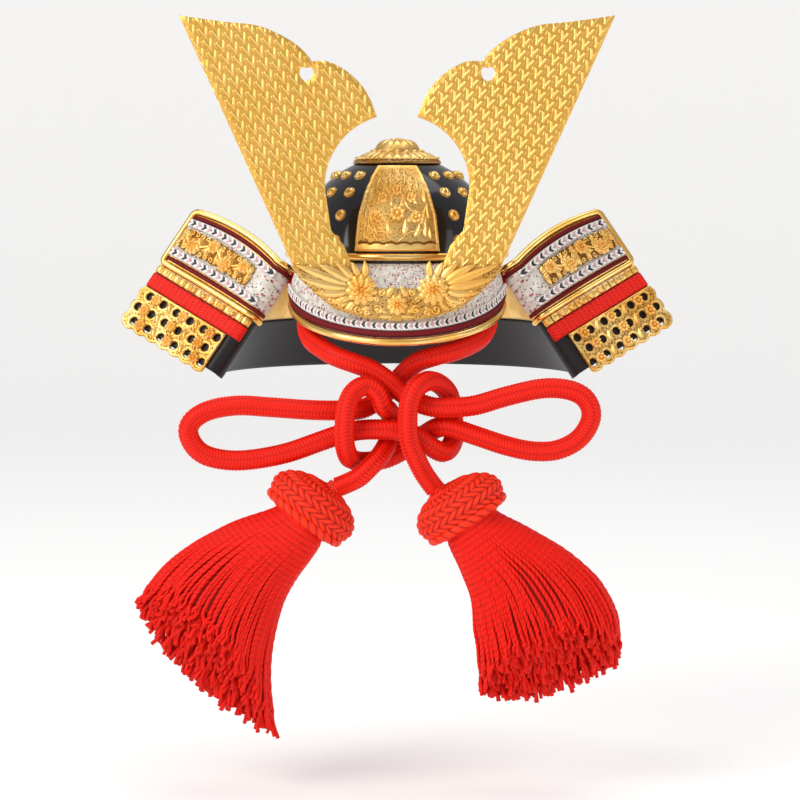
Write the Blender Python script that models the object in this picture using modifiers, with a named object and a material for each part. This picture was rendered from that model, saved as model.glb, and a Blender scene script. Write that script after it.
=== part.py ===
"""Ornamental samurai helmet (kabuto) at miniature size, with horns, neck guard and chin cord.

Metres, +Z up, front towards -Y. The origin is the centre of the bowl's opening, where a head
would sit. Left and right are as seen from the front.
"""
import bpy
import bmesh
from math import acos, ceil, cos, pi, radians, sin, sqrt
from mathutils import Matrix, Vector
from mathutils.geometry import interpolate_bezier

MM = 0.001
SIDES = (("left", -1), ("right", 1))

# Clearance between neighbouring pieces, and the sides of the large turned pieces
GAP = 0.3 * MM
ROUND_STEPS = 32

# Bowl
BOWL_RADIUS = 38.0 * MM
BOWL_WALL = 1.5 * MM
SKIRT_DROP = 4.0 * MM
CROWN_HOLE_RADIUS = 5.0 * MM
RIVET_RADIUS = 2.0 * MM
RIVET_HEIGHT = 1.2 * MM
RIVET_SPACING = radians(18)
RIVET_FIRST = radians(36)
RIVET_ROWS = (radians(11.5), radians(26), radians(40.5), radians(53.6))

# Band round the foot of the bowl
BAND_FOOT = 0.6 * MM
BAND_HEIGHT = 2.9 * MM
BAND_THICKNESS = 2.5 * MM

# Crown finial
FLANGE_RADIUS = 16.0 * MM
FLANGE_THICKNESS = 1.6 * MM
BOSS_RADIUS = 8.5 * MM
BOSS_HEIGHT = 4.6 * MM

# Front plate, which lies on the bowl
PLATE_HALF_WIDTH = 14.8 * MM
PLATE_BELOW_CROWN = 1.2 * MM
PLATE_THICKNESS = 1.6 * MM

# Brim
BRIM_AZIMUTH = radians(60)
BRIM_ROOT_HEIGHT = -0.6 * MM
BRIM_HALF_WIDTH = 37.0 * MM
BRIM_SIDE_FRONT = 17.0 * MM
BRIM_REACH = 38.0 * MM
BRIM_SIDE_DROP = 13.3 * MM
BRIM_FRONT_DROP = 12.4 * MM
BRIM_BOW = 1.6 * MM
BRIM_THICKNESS = 1.4 * MM

# Edge trims, the same on the brim and the turnbacks
RIM_DIAMETER = 2.6 * MM
WELT_WIDTH = 1.5 * MM
BRAID_WIDTH = 2.9 * MM
TRIM_THICKNESS = 1.0 * MM

# Neck guard: a cone round the sides and back, whose front ends fold outwards
GUARD_TOP = -3.0 * MM
GUARD_FLARE = radians(34.5)
GUARD_THICKNESS = 1.0 * MM
FOLD_AZIMUTH = radians(75)
FOLD_RADIUS = 4.0 * MM
FOLD_ANGLE = radians(130)
UPPER_DEPTH = 24.3 * MM
UPPER_LENGTH = 41.0 * MM
LOWER_START = 24.9 * MM
LOWER_DEPTH = 47.5 * MM
LOWER_LENGTH = 39.5 * MM
BACK_STEPS = 12
FOLD_STEPS = 5
TURNBACK_BOW = 3.0 * MM
TURNBACK_STEPS = 4

# Leather, lacing and gilt work on the turnbacks
LEATHER_THICKNESS = 1.0 * MM
HEADS_WIDTH = 2.2 * MM
LACING_WIDTH = 5.6 * MM
LACING_THICKNESS = 1.2 * MM
PIERCED_END = 50.5 * MM
PIERCED_THICKNESS = 1.2 * MM
PIERCED_HOLE_RADIUS = 1.5 * MM
SCROLL_HALF_WIDTH = 4.0 * MM
SCROLL_THICKNESS = 1.2 * MM
BACK_LACING = (5.0 * MM, 15.0 * MM, 28.0 * MM, 38.5 * MM)

# Horns
HORN_THICKNESS = 1.2 * MM
HORN_LEAN = radians(5)
HORN_FRONT = 52.6 * MM
HORN_FOOT = -19.8 * MM
HORN_SPAN = 76.0 * MM
HORN_HEIGHT = 86.8 * MM
HORN_RING_RADIUS = 25.2 * MM
HORN_RING_HEIGHT = 27.2 * MM
HEART_SIZE = 2.4 * MM
SOCKET_THICKNESS = 1.8 * MM
SOCKET_BOSS_RADIUS = 5.2 * MM
SOCKET_BOSS_HEIGHT = 1.6 * MM
SOCKET_POST_RADIUS = 2.5 * MM

# Chin cord and tassels
CORD_DIAMETER = 7.2 * MM
CORD_POINT_SPACING = 6.6 * MM
CORD_RING_DROP = 8.2 * MM
HEAD_HALF_WIDTH = 16.5 * MM
HEAD_HALF_LENGTH = 9.0 * MM
HEAD_HALF_DEPTH = 12.5 * MM
SKIRT_LENGTH = 62.0 * MM
SKIRT_WIDTH = 68.0 * MM
SKIRT_LOCKS = 14
LOCK_RELIEF = 0.07


for old in list(bpy.data.objects):
    bpy.data.objects.remove(old, do_unlink=True)

helmet = bpy.data.collections.new("kabuto")
cutters = bpy.data.collections.new("cutters")
for group in (helmet, cutters):
    bpy.context.scene.collection.children.link(group)


def finish(name, colour, roughness, metallic=0.0):
    """A material of one colour."""
    material = bpy.data.materials.new(name)
    material.use_nodes = True
    shader = material.node_tree.nodes["Principled BSDF"]
    shader.inputs["Base Color"].default_value = (*colour, 1.0)
    shader.inputs["Roughness"].default_value = roughness
    shader.inputs["Metallic"].default_value = metallic
    return material


LACQUER = (0.012, 0.011, 0.012)
GOLD = (0.83, 0.56, 0.20)
WHITE_LEATHER = (0.80, 0.76, 0.70)
RED_SILK = (0.85, 0.03, 0.015)
DARK_RED = (0.24, 0.012, 0.02)
BRAID_WHITE = (0.78, 0.78, 0.76)


def add_object(name, data, material):
    """An object that holds this mesh or curve, with its own material."""
    item = bpy.data.objects.new(name, data)
    data.materials.append(material)
    helmet.objects.link(item)
    return item


def mesh_from(bm, name):
    """A Blender mesh from a bmesh, which is freed."""
    bmesh.ops.recalc_face_normals(bm, faces=bm.faces)
    mesh = bpy.data.meshes.new(name)
    bm.to_mesh(mesh)
    bm.free()
    return mesh


def turned(name, profile, steps, material, closed=False):
    """A solid of revolution about Z; the profile runs down its outer side."""
    edges = [(i, i + 1) for i in range(len(profile) - 1)]
    if closed:
        edges.append((len(profile) - 1, 0))
    mesh = bpy.data.meshes.new(name)
    mesh.from_pydata([(r, 0.0, z) for r, z in profile], edges, [])
    item = add_object(name, mesh, material)
    screw = item.modifiers.new("Turn", "SCREW")
    screw.steps = steps
    screw.render_steps = steps
    screw.use_merge_vertices = True
    screw.merge_threshold = 0.00001
    return item


def sheet(name, point_at, columns, rows, thickness, material):
    """A bent plate: point_at(i, j) gives its middle surface at each column and row."""
    bm = bmesh.new()
    bmesh.ops.create_grid(bm, x_segments=columns, y_segments=rows, size=1.0)
    for vert in bm.verts:
        i = round((vert.co.x + 1) / 2 * columns)
        j = round((vert.co.y + 1) / 2 * rows)
        vert.co = point_at(i, j)
    item = add_object(name, mesh_from(bm, name), material)
    shell = item.modifiers.new("Shell", "SOLIDIFY")
    shell.thickness = thickness
    shell.offset = 0.0
    shell.use_even_offset = True
    return item


def tube(name, points, diameter, material, resolution=2):
    """A round bar or cord along these points."""
    curve = bpy.data.curves.new(name, "CURVE")
    curve.dimensions = "3D"
    curve.bevel_depth = diameter / 2
    curve.bevel_resolution = resolution
    curve.use_fill_caps = True
    spline = curve.splines.new("POLY")
    spline.points.add(len(points) - 1)
    for point, place in zip(spline.points, points):
        point.co = (*place, 1.0)
    return add_object(name, curve, material)


def flat_plate(name, outlines, thickness, place, material):
    """A flat plate from closed outlines; those inside the first are holes."""
    curve = bpy.data.curves.new(name, "CURVE")
    curve.dimensions = "2D"
    curve.fill_mode = "BOTH"
    curve.extrude = thickness / 2
    for outline in outlines:
        spline = curve.splines.new("POLY")
        spline.points.add(len(outline) - 1)
        spline.use_cyclic_u = True
        for point, (x, y) in zip(spline.points, outline):
            point.co = (x, y, 0.0, 1.0)
    item = add_object(name, curve, material)
    item.matrix_world = place
    return item


def as_mesh(item):
    """Turn a curve object into a mesh object with welded caps, so that it can be cut or joined."""
    bpy.context.view_layer.update()
    evaluated = item.evaluated_get(bpy.context.evaluated_depsgraph_get())
    mesh = bpy.data.meshes.new_from_object(evaluated)
    bm = bmesh.new()
    bm.from_mesh(mesh)
    bmesh.ops.remove_doubles(bm, verts=bm.verts, dist=0.00001)
    bmesh.ops.recalc_face_normals(bm, faces=bm.faces)
    bm.to_mesh(mesh)
    bm.free()
    name = item.name
    place = item.matrix_world.copy()
    bpy.data.objects.remove(item, do_unlink=True)
    solid = bpy.data.objects.new(name, mesh)
    solid.matrix_world = place
    helmet.objects.link(solid)
    return solid


def join(item, bm, name, overlapping=False):
    """Fuse a bmesh of solids to an object; overlapping says that they cut each other."""
    extra = bpy.data.objects.new(name, mesh_from(bm, name))
    cutters.objects.link(extra)
    extra.hide_render = True
    extra.display_type = "WIRE"
    union = item.modifiers.new("Fuse", "BOOLEAN")
    union.operation = "UNION"
    union.solver = "EXACT"
    union.use_self = overlapping
    union.object = extra


def arc(centre, radius, start, end, steps):
    """Points of a circular arc in a plane, both ends included."""
    turns = [start + (end - start) * i / steps for i in range(steps + 1)]
    return [(centre[0] + radius * cos(turn), centre[1] + radius * sin(turn)) for turn in turns]


def smooth(points, spacing):
    """Evenly spaced points of a smooth curve through the given points."""
    fine = []
    for i in range(len(points) - 1):
        before = points[max(i - 1, 0)]
        start = points[i]
        end = points[i + 1]
        after = points[min(i + 2, len(points) - 1)]
        first_handle = start + (end - before) / 6
        last_handle = end - (after - start) / 6
        fine += interpolate_bezier(start, first_handle, last_handle, end, 12)[:-1]
    fine.append(points[-1])
    lengths = [0.0]
    for a, b in zip(fine, fine[1:]):
        lengths.append(lengths[-1] + (b - a).length)
    count = max(2, ceil(lengths[-1] / spacing))
    result = []
    k = 0
    for i in range(count + 1):
        wanted = lengths[-1] * i / count
        while k < len(fine) - 2 and lengths[k + 1] < wanted:
            k += 1
        share = (wanted - lengths[k]) / max(lengths[k + 1] - lengths[k], 1e-12)
        result.append(fine[k].lerp(fine[k + 1], min(share, 1.0)))
    return result


# Bowl, with its rivets

def dome_profile(radius, lowest, smallest, steps):
    """Points down a dome from a hole at the top to its foot, then straight down."""
    top = acos(smallest / radius)
    turns = [top * (1 - i / steps) for i in range(steps + 1)]
    return [(radius * cos(turn), radius * sin(turn)) for turn in turns] + [(radius, lowest)]


def on_bowl(azimuth, elevation, radius):
    """A point at this distance from the bowl's centre; azimuth 0 is the front."""
    return Vector(
        (
            radius * cos(elevation) * sin(azimuth),
            -radius * cos(elevation) * cos(azimuth),
            radius * sin(elevation),
        )
    )


def make_bowl():
    outer = dome_profile(BOWL_RADIUS, -SKIRT_DROP, CROWN_HOLE_RADIUS, 7)
    inner = dome_profile(BOWL_RADIUS - BOWL_WALL, -SKIRT_DROP, CROWN_HOLE_RADIUS, 4)
    lacquer = finish("black_lacquer", LACQUER, 0.18)
    bowl = turned("bowl", outer + inner[::-1], ROUND_STEPS, lacquer, closed=True)
    rivets = bmesh.new()
    count = int((2 * pi - 2 * RIVET_FIRST) / RIVET_SPACING + 1.001)
    for elevation in RIVET_ROWS:
        for i in range(count):
            azimuth = RIVET_FIRST + i * RIVET_SPACING
            foot = on_bowl(azimuth, elevation, BOWL_RADIUS + RIVET_HEIGHT / 2 - BOWL_WALL / 4)
            turn = foot.to_track_quat("Z", "Y").to_matrix().to_4x4()
            bmesh.ops.create_cone(
                rivets,
                cap_ends=True,
                segments=5,
                radius1=RIVET_RADIUS,
                radius2=RIVET_RADIUS * 0.45,
                depth=RIVET_HEIGHT + BOWL_WALL / 2,
                matrix=Matrix.Translation(foot) @ turn,
            )
    join(bowl, rivets, "rivets")


def make_base_band():
    inner = BOWL_RADIUS + GAP
    outer = inner + BAND_THICKNESS
    top = BAND_FOOT + BAND_HEIGHT
    edge = BAND_HEIGHT / 4
    profile = [
        (inner, top),
        (outer - edge, top),
        (outer, top - edge),
        (outer, BAND_FOOT + edge),
        (outer - edge, BAND_FOOT),
        (inner, BAND_FOOT),
    ]
    turned("base_band", profile, ROUND_STEPS, finish("gilt_band", GOLD, 0.28, 1.0), closed=True)


def crown_foot():
    """The height of the crown flange's rim, where it meets the bowl."""
    return sqrt((BOWL_RADIUS + GAP) ** 2 - FLANGE_RADIUS**2)


def make_crown_finial():
    seat = BOWL_RADIUS + GAP
    rise = crown_foot()
    boss_foot = sqrt(seat**2 - BOSS_RADIUS**2) + FLANGE_THICKNESS
    profile = [(0.0, boss_foot + BOSS_HEIGHT)]
    for share in (0.3, 0.55, 0.8):
        profile.append((BOSS_RADIUS * sin(share * pi / 2), boss_foot + BOSS_HEIGHT * cos(share * pi / 2)))
    profile += [(BOSS_RADIUS, boss_foot), (FLANGE_RADIUS * 0.86, rise + FLANGE_THICKNESS * 1.4)]
    profile += [(FLANGE_RADIUS, rise + FLANGE_THICKNESS * 0.6), (FLANGE_RADIUS, rise)]
    for share in (0.75, 0.5, 0.25):
        radius = FLANGE_RADIUS * share
        profile.append((radius, sqrt(seat**2 - radius**2)))
    profile.append((0.0, seat))
    turned("crown_finial", profile, 20, finish("gilt_crown", GOLD, 0.3, 1.0))


# Front plate: share of the height from the foot, share of the half-width
PLATE_OUTLINE = (
    {"up": 0.0, "half": 1.0},
    {"up": 0.18, "half": 0.97},
    {"up": 0.42, "half": 0.92},
    {"up": 0.7, "half": 0.76},
    {"up": 0.88, "half": 0.6},
    {"up": 1.0, "half": 0.46},
)


def make_front_plate():
    columns = 6
    foot = BAND_FOOT + BAND_HEIGHT + GAP * 2
    top = crown_foot() - PLATE_BELOW_CROWN
    radius = BOWL_RADIUS + GAP * 2.4 + PLATE_THICKNESS / 2

    def point_at(i, j):
        row = PLATE_OUTLINE[j]
        z = foot + (top - foot) * row["up"]
        x = PLATE_HALF_WIDTH * row["half"] * (2 * i / columns - 1)
        return Vector((x, -sqrt(radius**2 - z**2 - x**2), z))

    sheet("front_plate", point_at, columns, 5, PLATE_THICKNESS, finish("gilt_front", GOLD, 0.3, 1.0))


# Brim

def brim_root(turn):
    azimuth = turn / (pi / 2) * BRIM_AZIMUTH
    radius = BOWL_RADIUS + GAP + BRIM_THICKNESS * 0.6
    return Vector((radius * sin(azimuth), -radius * cos(azimuth), BRIM_ROOT_HEIGHT))


def brim_edge(turn):
    return Vector(
        (
            BRIM_HALF_WIDTH * sin(turn),
            -BRIM_SIDE_FRONT - BRIM_REACH * cos(turn),
            -BRIM_SIDE_DROP - BRIM_FRONT_DROP * cos(turn),
        )
    )


def brim_point(turn, inward, lift=0.0):
    """A point of the brim this far in from its edge, raised by lift."""
    root = brim_root(turn)
    edge = brim_edge(turn)
    down = edge - root
    share = 1 - inward / down.length
    side = brim_edge(turn + 0.01) - brim_edge(turn - 0.01)
    normal = side.cross(down).normalized()
    if normal.z < 0:
        normal = -normal
    bow = BRIM_BOW * 4 * share * (1 - share) if share < 1 else 0.0
    return root + down * share + normal * (bow + lift)


def brim_strip(name, start, width, lift, thickness, material, columns=18):
    """A strip that lies on the brim, this far in from the edge."""

    def point_at(i, j):
        return brim_point(pi * (i / columns - 0.5), start + width * j, lift)

    sheet(name, point_at, columns, 1, thickness, material)


def make_brim():
    columns = 18

    def point_at(i, j):
        turn = pi * (i / columns - 0.5)
        length = (brim_edge(turn) - brim_root(turn)).length
        return brim_point(turn, length * (1 - j / 3))

    sheet("brim", point_at, columns, 3, BRIM_THICKNESS, finish("brim_leather", WHITE_LEATHER, 0.6))
    lift = BRIM_THICKNESS / 2 + GAP + TRIM_THICKNESS / 2
    start = GAP
    welt = finish("brim_welt", DARK_RED, 0.6)
    brim_strip("brim_welt", start, WELT_WIDTH, lift, TRIM_THICKNESS, welt)
    start += WELT_WIDTH + GAP
    braid = finish("brim_braid", BRAID_WHITE, 0.7)
    brim_strip("brim_braid", start, BRAID_WIDTH, lift, TRIM_THICKNESS, braid)
    outside = -(GAP * 1.6 + RIM_DIAMETER / 2)
    points = [brim_point(pi * (i / 26 - 0.5), outside, TRIM_THICKNESS / 2) for i in range(27)]
    tube("brim_rim", points, RIM_DIAMETER, finish("gilt_brim_rim", GOLD, 0.25, 1.0), 1)


# Neck guard

def guard_radius():
    return BOWL_RADIUS + GAP * 1.5 + GUARD_THICKNESS / 2


def guard_directions(azimuth):
    """Outwards from the cone, down along it, and round it towards the front."""
    outward = Vector((cos(GUARD_FLARE) * sin(azimuth), -cos(GUARD_FLARE) * cos(azimuth), sin(GUARD_FLARE)))
    down = Vector((sin(GUARD_FLARE) * sin(azimuth), -sin(GUARD_FLARE) * cos(azimuth), -cos(GUARD_FLARE)))
    forward = Vector((-cos(azimuth), -sin(azimuth), 0.0))
    return outward, down, forward


def turnback_bow(along, depth):
    """How far the upper turnback's middle rises; it is most at its top and nothing at its foot."""
    share = max(0.0, min((along - FOLD_RADIUS * FOLD_ANGLE) / UPPER_LENGTH, 1.0))
    return TURNBACK_BOW * 4 * share * (1 - share) * max(0.0, 1 - depth / LOWER_START)


def guard_point(side, along, depth, lift=0.0):
    """A point of the guard. along is 0 at the fold, below 0 round the back and above 0 on the turnback.

    depth runs down the guard, and lift out from it, so on a turnback the seen face has lift below 0.
    """
    azimuth = FOLD_AZIMUTH - min(along, 0.0) / guard_radius()
    outward, down, forward = guard_directions(azimuth)
    top = Vector((guard_radius() * sin(azimuth), -guard_radius() * cos(azimuth), GUARD_TOP))
    point = top + down * (depth - turnback_bow(along, depth))
    if along > 0:
        turn = min(along / FOLD_RADIUS, FOLD_ANGLE)
        point += FOLD_RADIUS * (outward * (1 - cos(turn)) + forward * sin(turn))
        run = forward * cos(turn) + outward * sin(turn)
        point += run * max(0.0, along - FOLD_RADIUS * FOLD_ANGLE)
        outward = outward * cos(turn) - forward * sin(turn)
    point += outward * lift
    return Vector((side * point.x, point.y, point.z))


def back_stations():
    """Distances round one side of the back, from its middle to the fold."""
    half_round = (pi - FOLD_AZIMUTH) * guard_radius()
    return [-half_round * (1 - i / BACK_STEPS) for i in range(BACK_STEPS)]


def fold_stations(length, depth, first=0.0):
    """Distances round the fold and out to the turnback's end; first is how far into the fold they start."""
    fold = FOLD_RADIUS * FOLD_ANGLE
    steps = TURNBACK_STEPS if depth < UPPER_DEPTH else 1
    bend = [fold * (first + (1 - first) * i / FOLD_STEPS) for i in range(FOLD_STEPS + 1)]
    return bend + [fold + length * i / steps for i in range(1, steps + 1)]


def make_lame(name, length, start, end, inset, material):
    """A whole lame, from one turnback round the back to the other; inset leaves room for its rim."""
    right = back_stations() + fold_stations(length - inset, start)
    left = [(-1, along) for along in right[::-1]]
    stations = left[:-1] + [(1, along) for along in right]

    def point_at(i, j):
        side, along = stations[i]
        room = inset if along >= 0 else GAP
        return guard_point(side, along, start + room if j == 0 else end - room)

    sheet(name, point_at, len(stations) - 1, 1, GUARD_THICKNESS, material)


def make_turnback_rim(side_name, side):
    """The gilt rim of the upper turnback: out along its top, down its end and back along its foot."""
    radius = RIM_DIAMETER / 2
    corner = radius + GAP
    fold = FOLD_RADIUS * FOLD_ANGLE
    end = fold + UPPER_LENGTH - radius
    top = radius
    foot = UPPER_DEPTH - radius
    stations = fold_stations(UPPER_LENGTH, top)
    runs = [along for along in stations if along < end - RIM_DIAMETER * 2]
    path = [(along, top) for along in runs]
    path += arc((end - corner, top + corner), corner, -pi / 2, 0, 2)
    path += arc((end - corner, foot - corner), corner, 0, pi / 2, 2)
    path += [(along, foot) for along in runs[::-1]]
    lift = -GUARD_THICKNESS * 0.4
    points = [guard_point(side, along, depth, lift) for along, depth in path]
    material = finish(f"gilt_rim_{side_name}", GOLD, 0.25, 1.0)
    tube(f"turnback_rim_{side_name}", points, RIM_DIAMETER, material, 1)


def turnback_strip(name, side, first, length, start, width, lift, thickness, material):
    """A strip on the seen face of a turnback. first is how far into the fold it starts."""
    stations = fold_stations(length, start, first)

    def point_at(i, j):
        return guard_point(side, stations[i], start + width * j, lift)

    sheet(name, point_at, len(stations) - 1, 1, thickness, material)


def turnback_place(side, lift):
    """The matrix of a flat turnback: X runs out along it, Y up across it."""
    fold = FOLD_RADIUS * FOLD_ANGLE
    origin = guard_point(side, fold, 0.0, lift)
    out = (guard_point(side, fold + 1.0, 0.0, lift) - origin).normalized()
    up = (origin - guard_point(side, fold, 1.0, lift)).normalized()
    turn = Matrix((out, up, out.cross(up))).transposed().to_4x4()
    return Matrix.Translation(origin) @ turn


def scalloped(start, end, lobes, rise, steps=3):
    """Points along a scalloped edge between two corners; the lobes stand to the right of the run."""
    start = Vector(start)
    run = Vector(end) - start
    beside = Vector((run.y, -run.x)).normalized()
    points = []
    for i in range(lobes * steps):
        share = i / (lobes * steps)
        points.append(start + run * share + beside * rise * sin(pi * (i % steps) / steps))
    return points


def make_upper_turnback(side_name, side):
    room = RIM_DIAMETER + GAP
    length = UPPER_LENGTH - room
    face = -(GUARD_THICKNESS / 2 + GAP + LEATHER_THICKNESS / 2)
    welt_depths = {"top": room, "foot": UPPER_DEPTH - room - WELT_WIDTH}
    for edge, depth in welt_depths.items():
        turnback_strip(
            f"turnback_welt_{edge}_{side_name}",
            side,
            0.3,
            length,
            depth,
            WELT_WIDTH,
            face,
            LEATHER_THICKNESS,
            finish(f"welt_{edge}_{side_name}", DARK_RED, 0.6),
        )
    field_top = room + WELT_WIDTH + GAP
    field = UPPER_DEPTH - 2 * field_top
    turnback_strip(
        f"turnback_leather_{side_name}",
        side,
        0.3,
        length,
        field_top,
        field,
        face,
        LEATHER_THICKNESS,
        finish(f"leather_{side_name}", WHITE_LEATHER, 0.6),
    )
    braid_face = face - LEATHER_THICKNESS / 2 - GAP - TRIM_THICKNESS / 2
    braid_depths = {"top": field_top, "foot": field_top + field - BRAID_WIDTH}
    for edge, depth in braid_depths.items():
        turnback_strip(
            f"turnback_braid_{edge}_{side_name}",
            side,
            0.8,
            length,
            depth,
            BRAID_WIDTH,
            braid_face,
            TRIM_THICKNESS,
            finish(f"braid_{edge}_{side_name}", BRAID_WHITE, 0.7),
        )
    middle = -UPPER_DEPTH / 2
    lobe = SCROLL_HALF_WIDTH * 0.25
    half = SCROLL_HALF_WIDTH - lobe
    near = length * 0.12
    far = length * 0.97
    outline = scalloped((near, middle - half), (far, middle - half), 6, lobe)
    outline += scalloped((far, middle - half), (far, middle + half), 1, lobe)
    outline += scalloped((far, middle + half), (near, middle + half), 6, lobe)
    outline += scalloped((near, middle + half), (near, middle - half), 1, lobe)
    fold = FOLD_RADIUS * FOLD_ANGLE
    outline = [(x, y + turnback_bow(fold + x, -y)) for x, y in outline]
    flat_plate(
        f"turnback_scroll_{side_name}",
        [outline],
        SCROLL_THICKNESS,
        turnback_place(side, face - LEATHER_THICKNESS / 2 - GAP - SCROLL_THICKNESS / 2),
        finish(f"gilt_scroll_{side_name}", GOLD, 0.3, 1.0),
    )


def make_lower_turnback(side_name, side):
    face = -(GUARD_THICKNESS / 2 + GAP + LACING_THICKNESS / 2)
    heads_start = LOWER_START + GAP
    turnback_strip(
        f"scale_heads_{side_name}",
        side,
        0.6,
        LOWER_LENGTH - GAP,
        heads_start,
        HEADS_WIDTH,
        face,
        LACING_THICKNESS,
        finish(f"gilt_heads_{side_name}", GOLD, 0.3, 1.0),
    )
    lacing_start = heads_start + HEADS_WIDTH + GAP
    turnback_strip(
        f"turnback_lacing_{side_name}",
        side,
        0.6,
        LOWER_LENGTH - GAP,
        lacing_start,
        LACING_WIDTH,
        face,
        LACING_THICKNESS,
        finish(f"lacing_{side_name}", RED_SILK, 0.6),
    )
    top = -(lacing_start + LACING_WIDTH + GAP)
    foot = -PIERCED_END
    rise = PIERCED_HOLE_RADIUS * 0.7
    near = 0.5 * MM
    far = LOWER_LENGTH - GAP
    outline = [Vector((near, top))]
    outline += scalloped((near, foot + rise), (far, foot + rise), 7, rise)
    outline += scalloped((far, foot + rise), (far, top), 3, rise)
    outline.append(Vector((far, top)))
    holes = []
    columns = 6
    rows = 3
    for row in range(rows):
        for column in range(columns):
            x = near + (far - near) * (column + 0.5 + 0.3 * (row % 2) - 0.15) / columns
            y = top + (foot + rise - top) * (row + 0.5) / rows
            holes.append(arc((x, y), PIERCED_HOLE_RADIUS, 0, 2 * pi * 5 / 6, 5))
    flat_plate(
        f"pierced_plate_{side_name}",
        [outline] + holes,
        PIERCED_THICKNESS,
        turnback_place(side, -(GUARD_THICKNESS / 2 + GAP + PIERCED_THICKNESS / 2)),
        finish(f"gilt_pierced_{side_name}", GOLD, 0.3, 1.0),
    )


def make_back_lacing():
    """Red lacing bands across the outside of the neck guard."""
    stations = [(-1, along) for along in back_stations()[::-1]]
    stations = stations[:-1] + [(1, along) for along in back_stations()]
    lift = GUARD_THICKNESS / 2 + GAP + LACING_THICKNESS / 2
    for number, start in enumerate(BACK_LACING, 1):

        def point_at(i, j, start=start):
            side, along = stations[i]
            return guard_point(side, along, start + LACING_WIDTH * j, lift)

        sheet(
            f"neck_lacing_{number}",
            point_at,
            len(stations) - 1,
            1,
            LACING_THICKNESS,
            finish(f"neck_lacing_{number}", RED_SILK, 0.6),
        )


# Horns: the right one's upper outline, as shares of the span and the height, from the tip inwards
HORN_TOP = (
    {"out": 1.0, "up": 1.0},
    {"out": 0.79, "up": 0.974},
    {"out": 0.65, "up": 0.961},
    {"out": 0.546, "up": 0.927},
    {"out": 0.459, "up": 0.881},
    {"out": 0.407, "up": 0.836},
    {"out": 0.391, "up": 0.815},
    {"out": 0.32, "up": 0.815},
    {"out": 0.234, "up": 0.778},
    {"out": 0.163, "up": 0.72},
    {"out": 0.12, "up": 0.658},
)
# Inside the ring, down to the foot, and the foot hidden by the socket
HORN_FOOT_OUTLINE = (
    {"out": 0.303, "up": 0.138},
    {"out": 0.243, "up": 0.076},
    {"out": 0.184, "up": -0.06},
    {"out": 0.21, "up": -0.13},
    {"out": 0.37, "up": -0.12},
    {"out": 0.43, "up": -0.055},
    {"out": 0.48, "up": 0.0},
)
HEART_PLACE = {"out": 0.416, "up": 0.772}


def horn_place(lift):
    """The matrix of the horns' plane; its X is world X and its Y runs up the horns."""
    lean = Matrix.Rotation(pi / 2 - HORN_LEAN, 4, "X")
    forward = lean @ Vector((0.0, 0.0, lift))
    return Matrix.Translation(Vector((0.0, -HORN_FRONT, 0.0)) + forward) @ lean


def heart_outline(centre, size, side):
    """A small heart with its point down."""
    points = []
    for i in range(8):
        turn = 2 * pi * i / 8
        pinch = 1.0 - 0.35 * max(0.0, sin(turn)) ** 6 + 0.25 * max(0.0, -sin(turn)) ** 3
        points.append((centre[0] + side * size * pinch * cos(turn), centre[1] + size * pinch * sin(turn)))
    return points


def make_horn(side_name, side):
    outline = [(row["out"] * HORN_SPAN, row["up"] * HORN_HEIGHT) for row in HORN_TOP]
    ring_top = radians(75.6)
    outline += arc((0.0, HORN_RING_HEIGHT), HORN_RING_RADIUS, ring_top, 0.0, 7)
    outline += [(row["out"] * HORN_SPAN, row["up"] * HORN_HEIGHT) for row in HORN_FOOT_OUTLINE]
    outline = [(side * x, y) for x, y in outline]
    centre = (side * HEART_PLACE["out"] * HORN_SPAN, HEART_PLACE["up"] * HORN_HEIGHT)
    flat_plate(
        f"horn_{side_name}",
        [outline, heart_outline(centre, HEART_SIZE, side)],
        HORN_THICKNESS,
        horn_place(-HORN_THICKNESS / 2),
        finish(f"gilt_horn_{side_name}", GOLD, 0.3, 1.0),
    )


# The horn socket's half outline, as shares of its half-width and its drop, from the outer corner down
SOCKET_OUTLINE = (
    {"out": 1.0, "down": 0.0},
    {"out": 0.9, "down": 0.26},
    {"out": 0.75, "down": 0.53},
    {"out": 0.58, "down": 0.79},
    {"out": 0.29, "down": 0.95},
    {"out": 0.0, "down": 1.0},
)
SOCKET_TOP = (
    {"out": 0.187, "down": 0.42},
    {"out": 0.36, "down": 0.2},
    {"out": 0.6, "down": 0.15},
    {"out": 0.84, "down": 0.16},
)
SOCKET_HALF_WIDTH = 37.5 * MM


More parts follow.
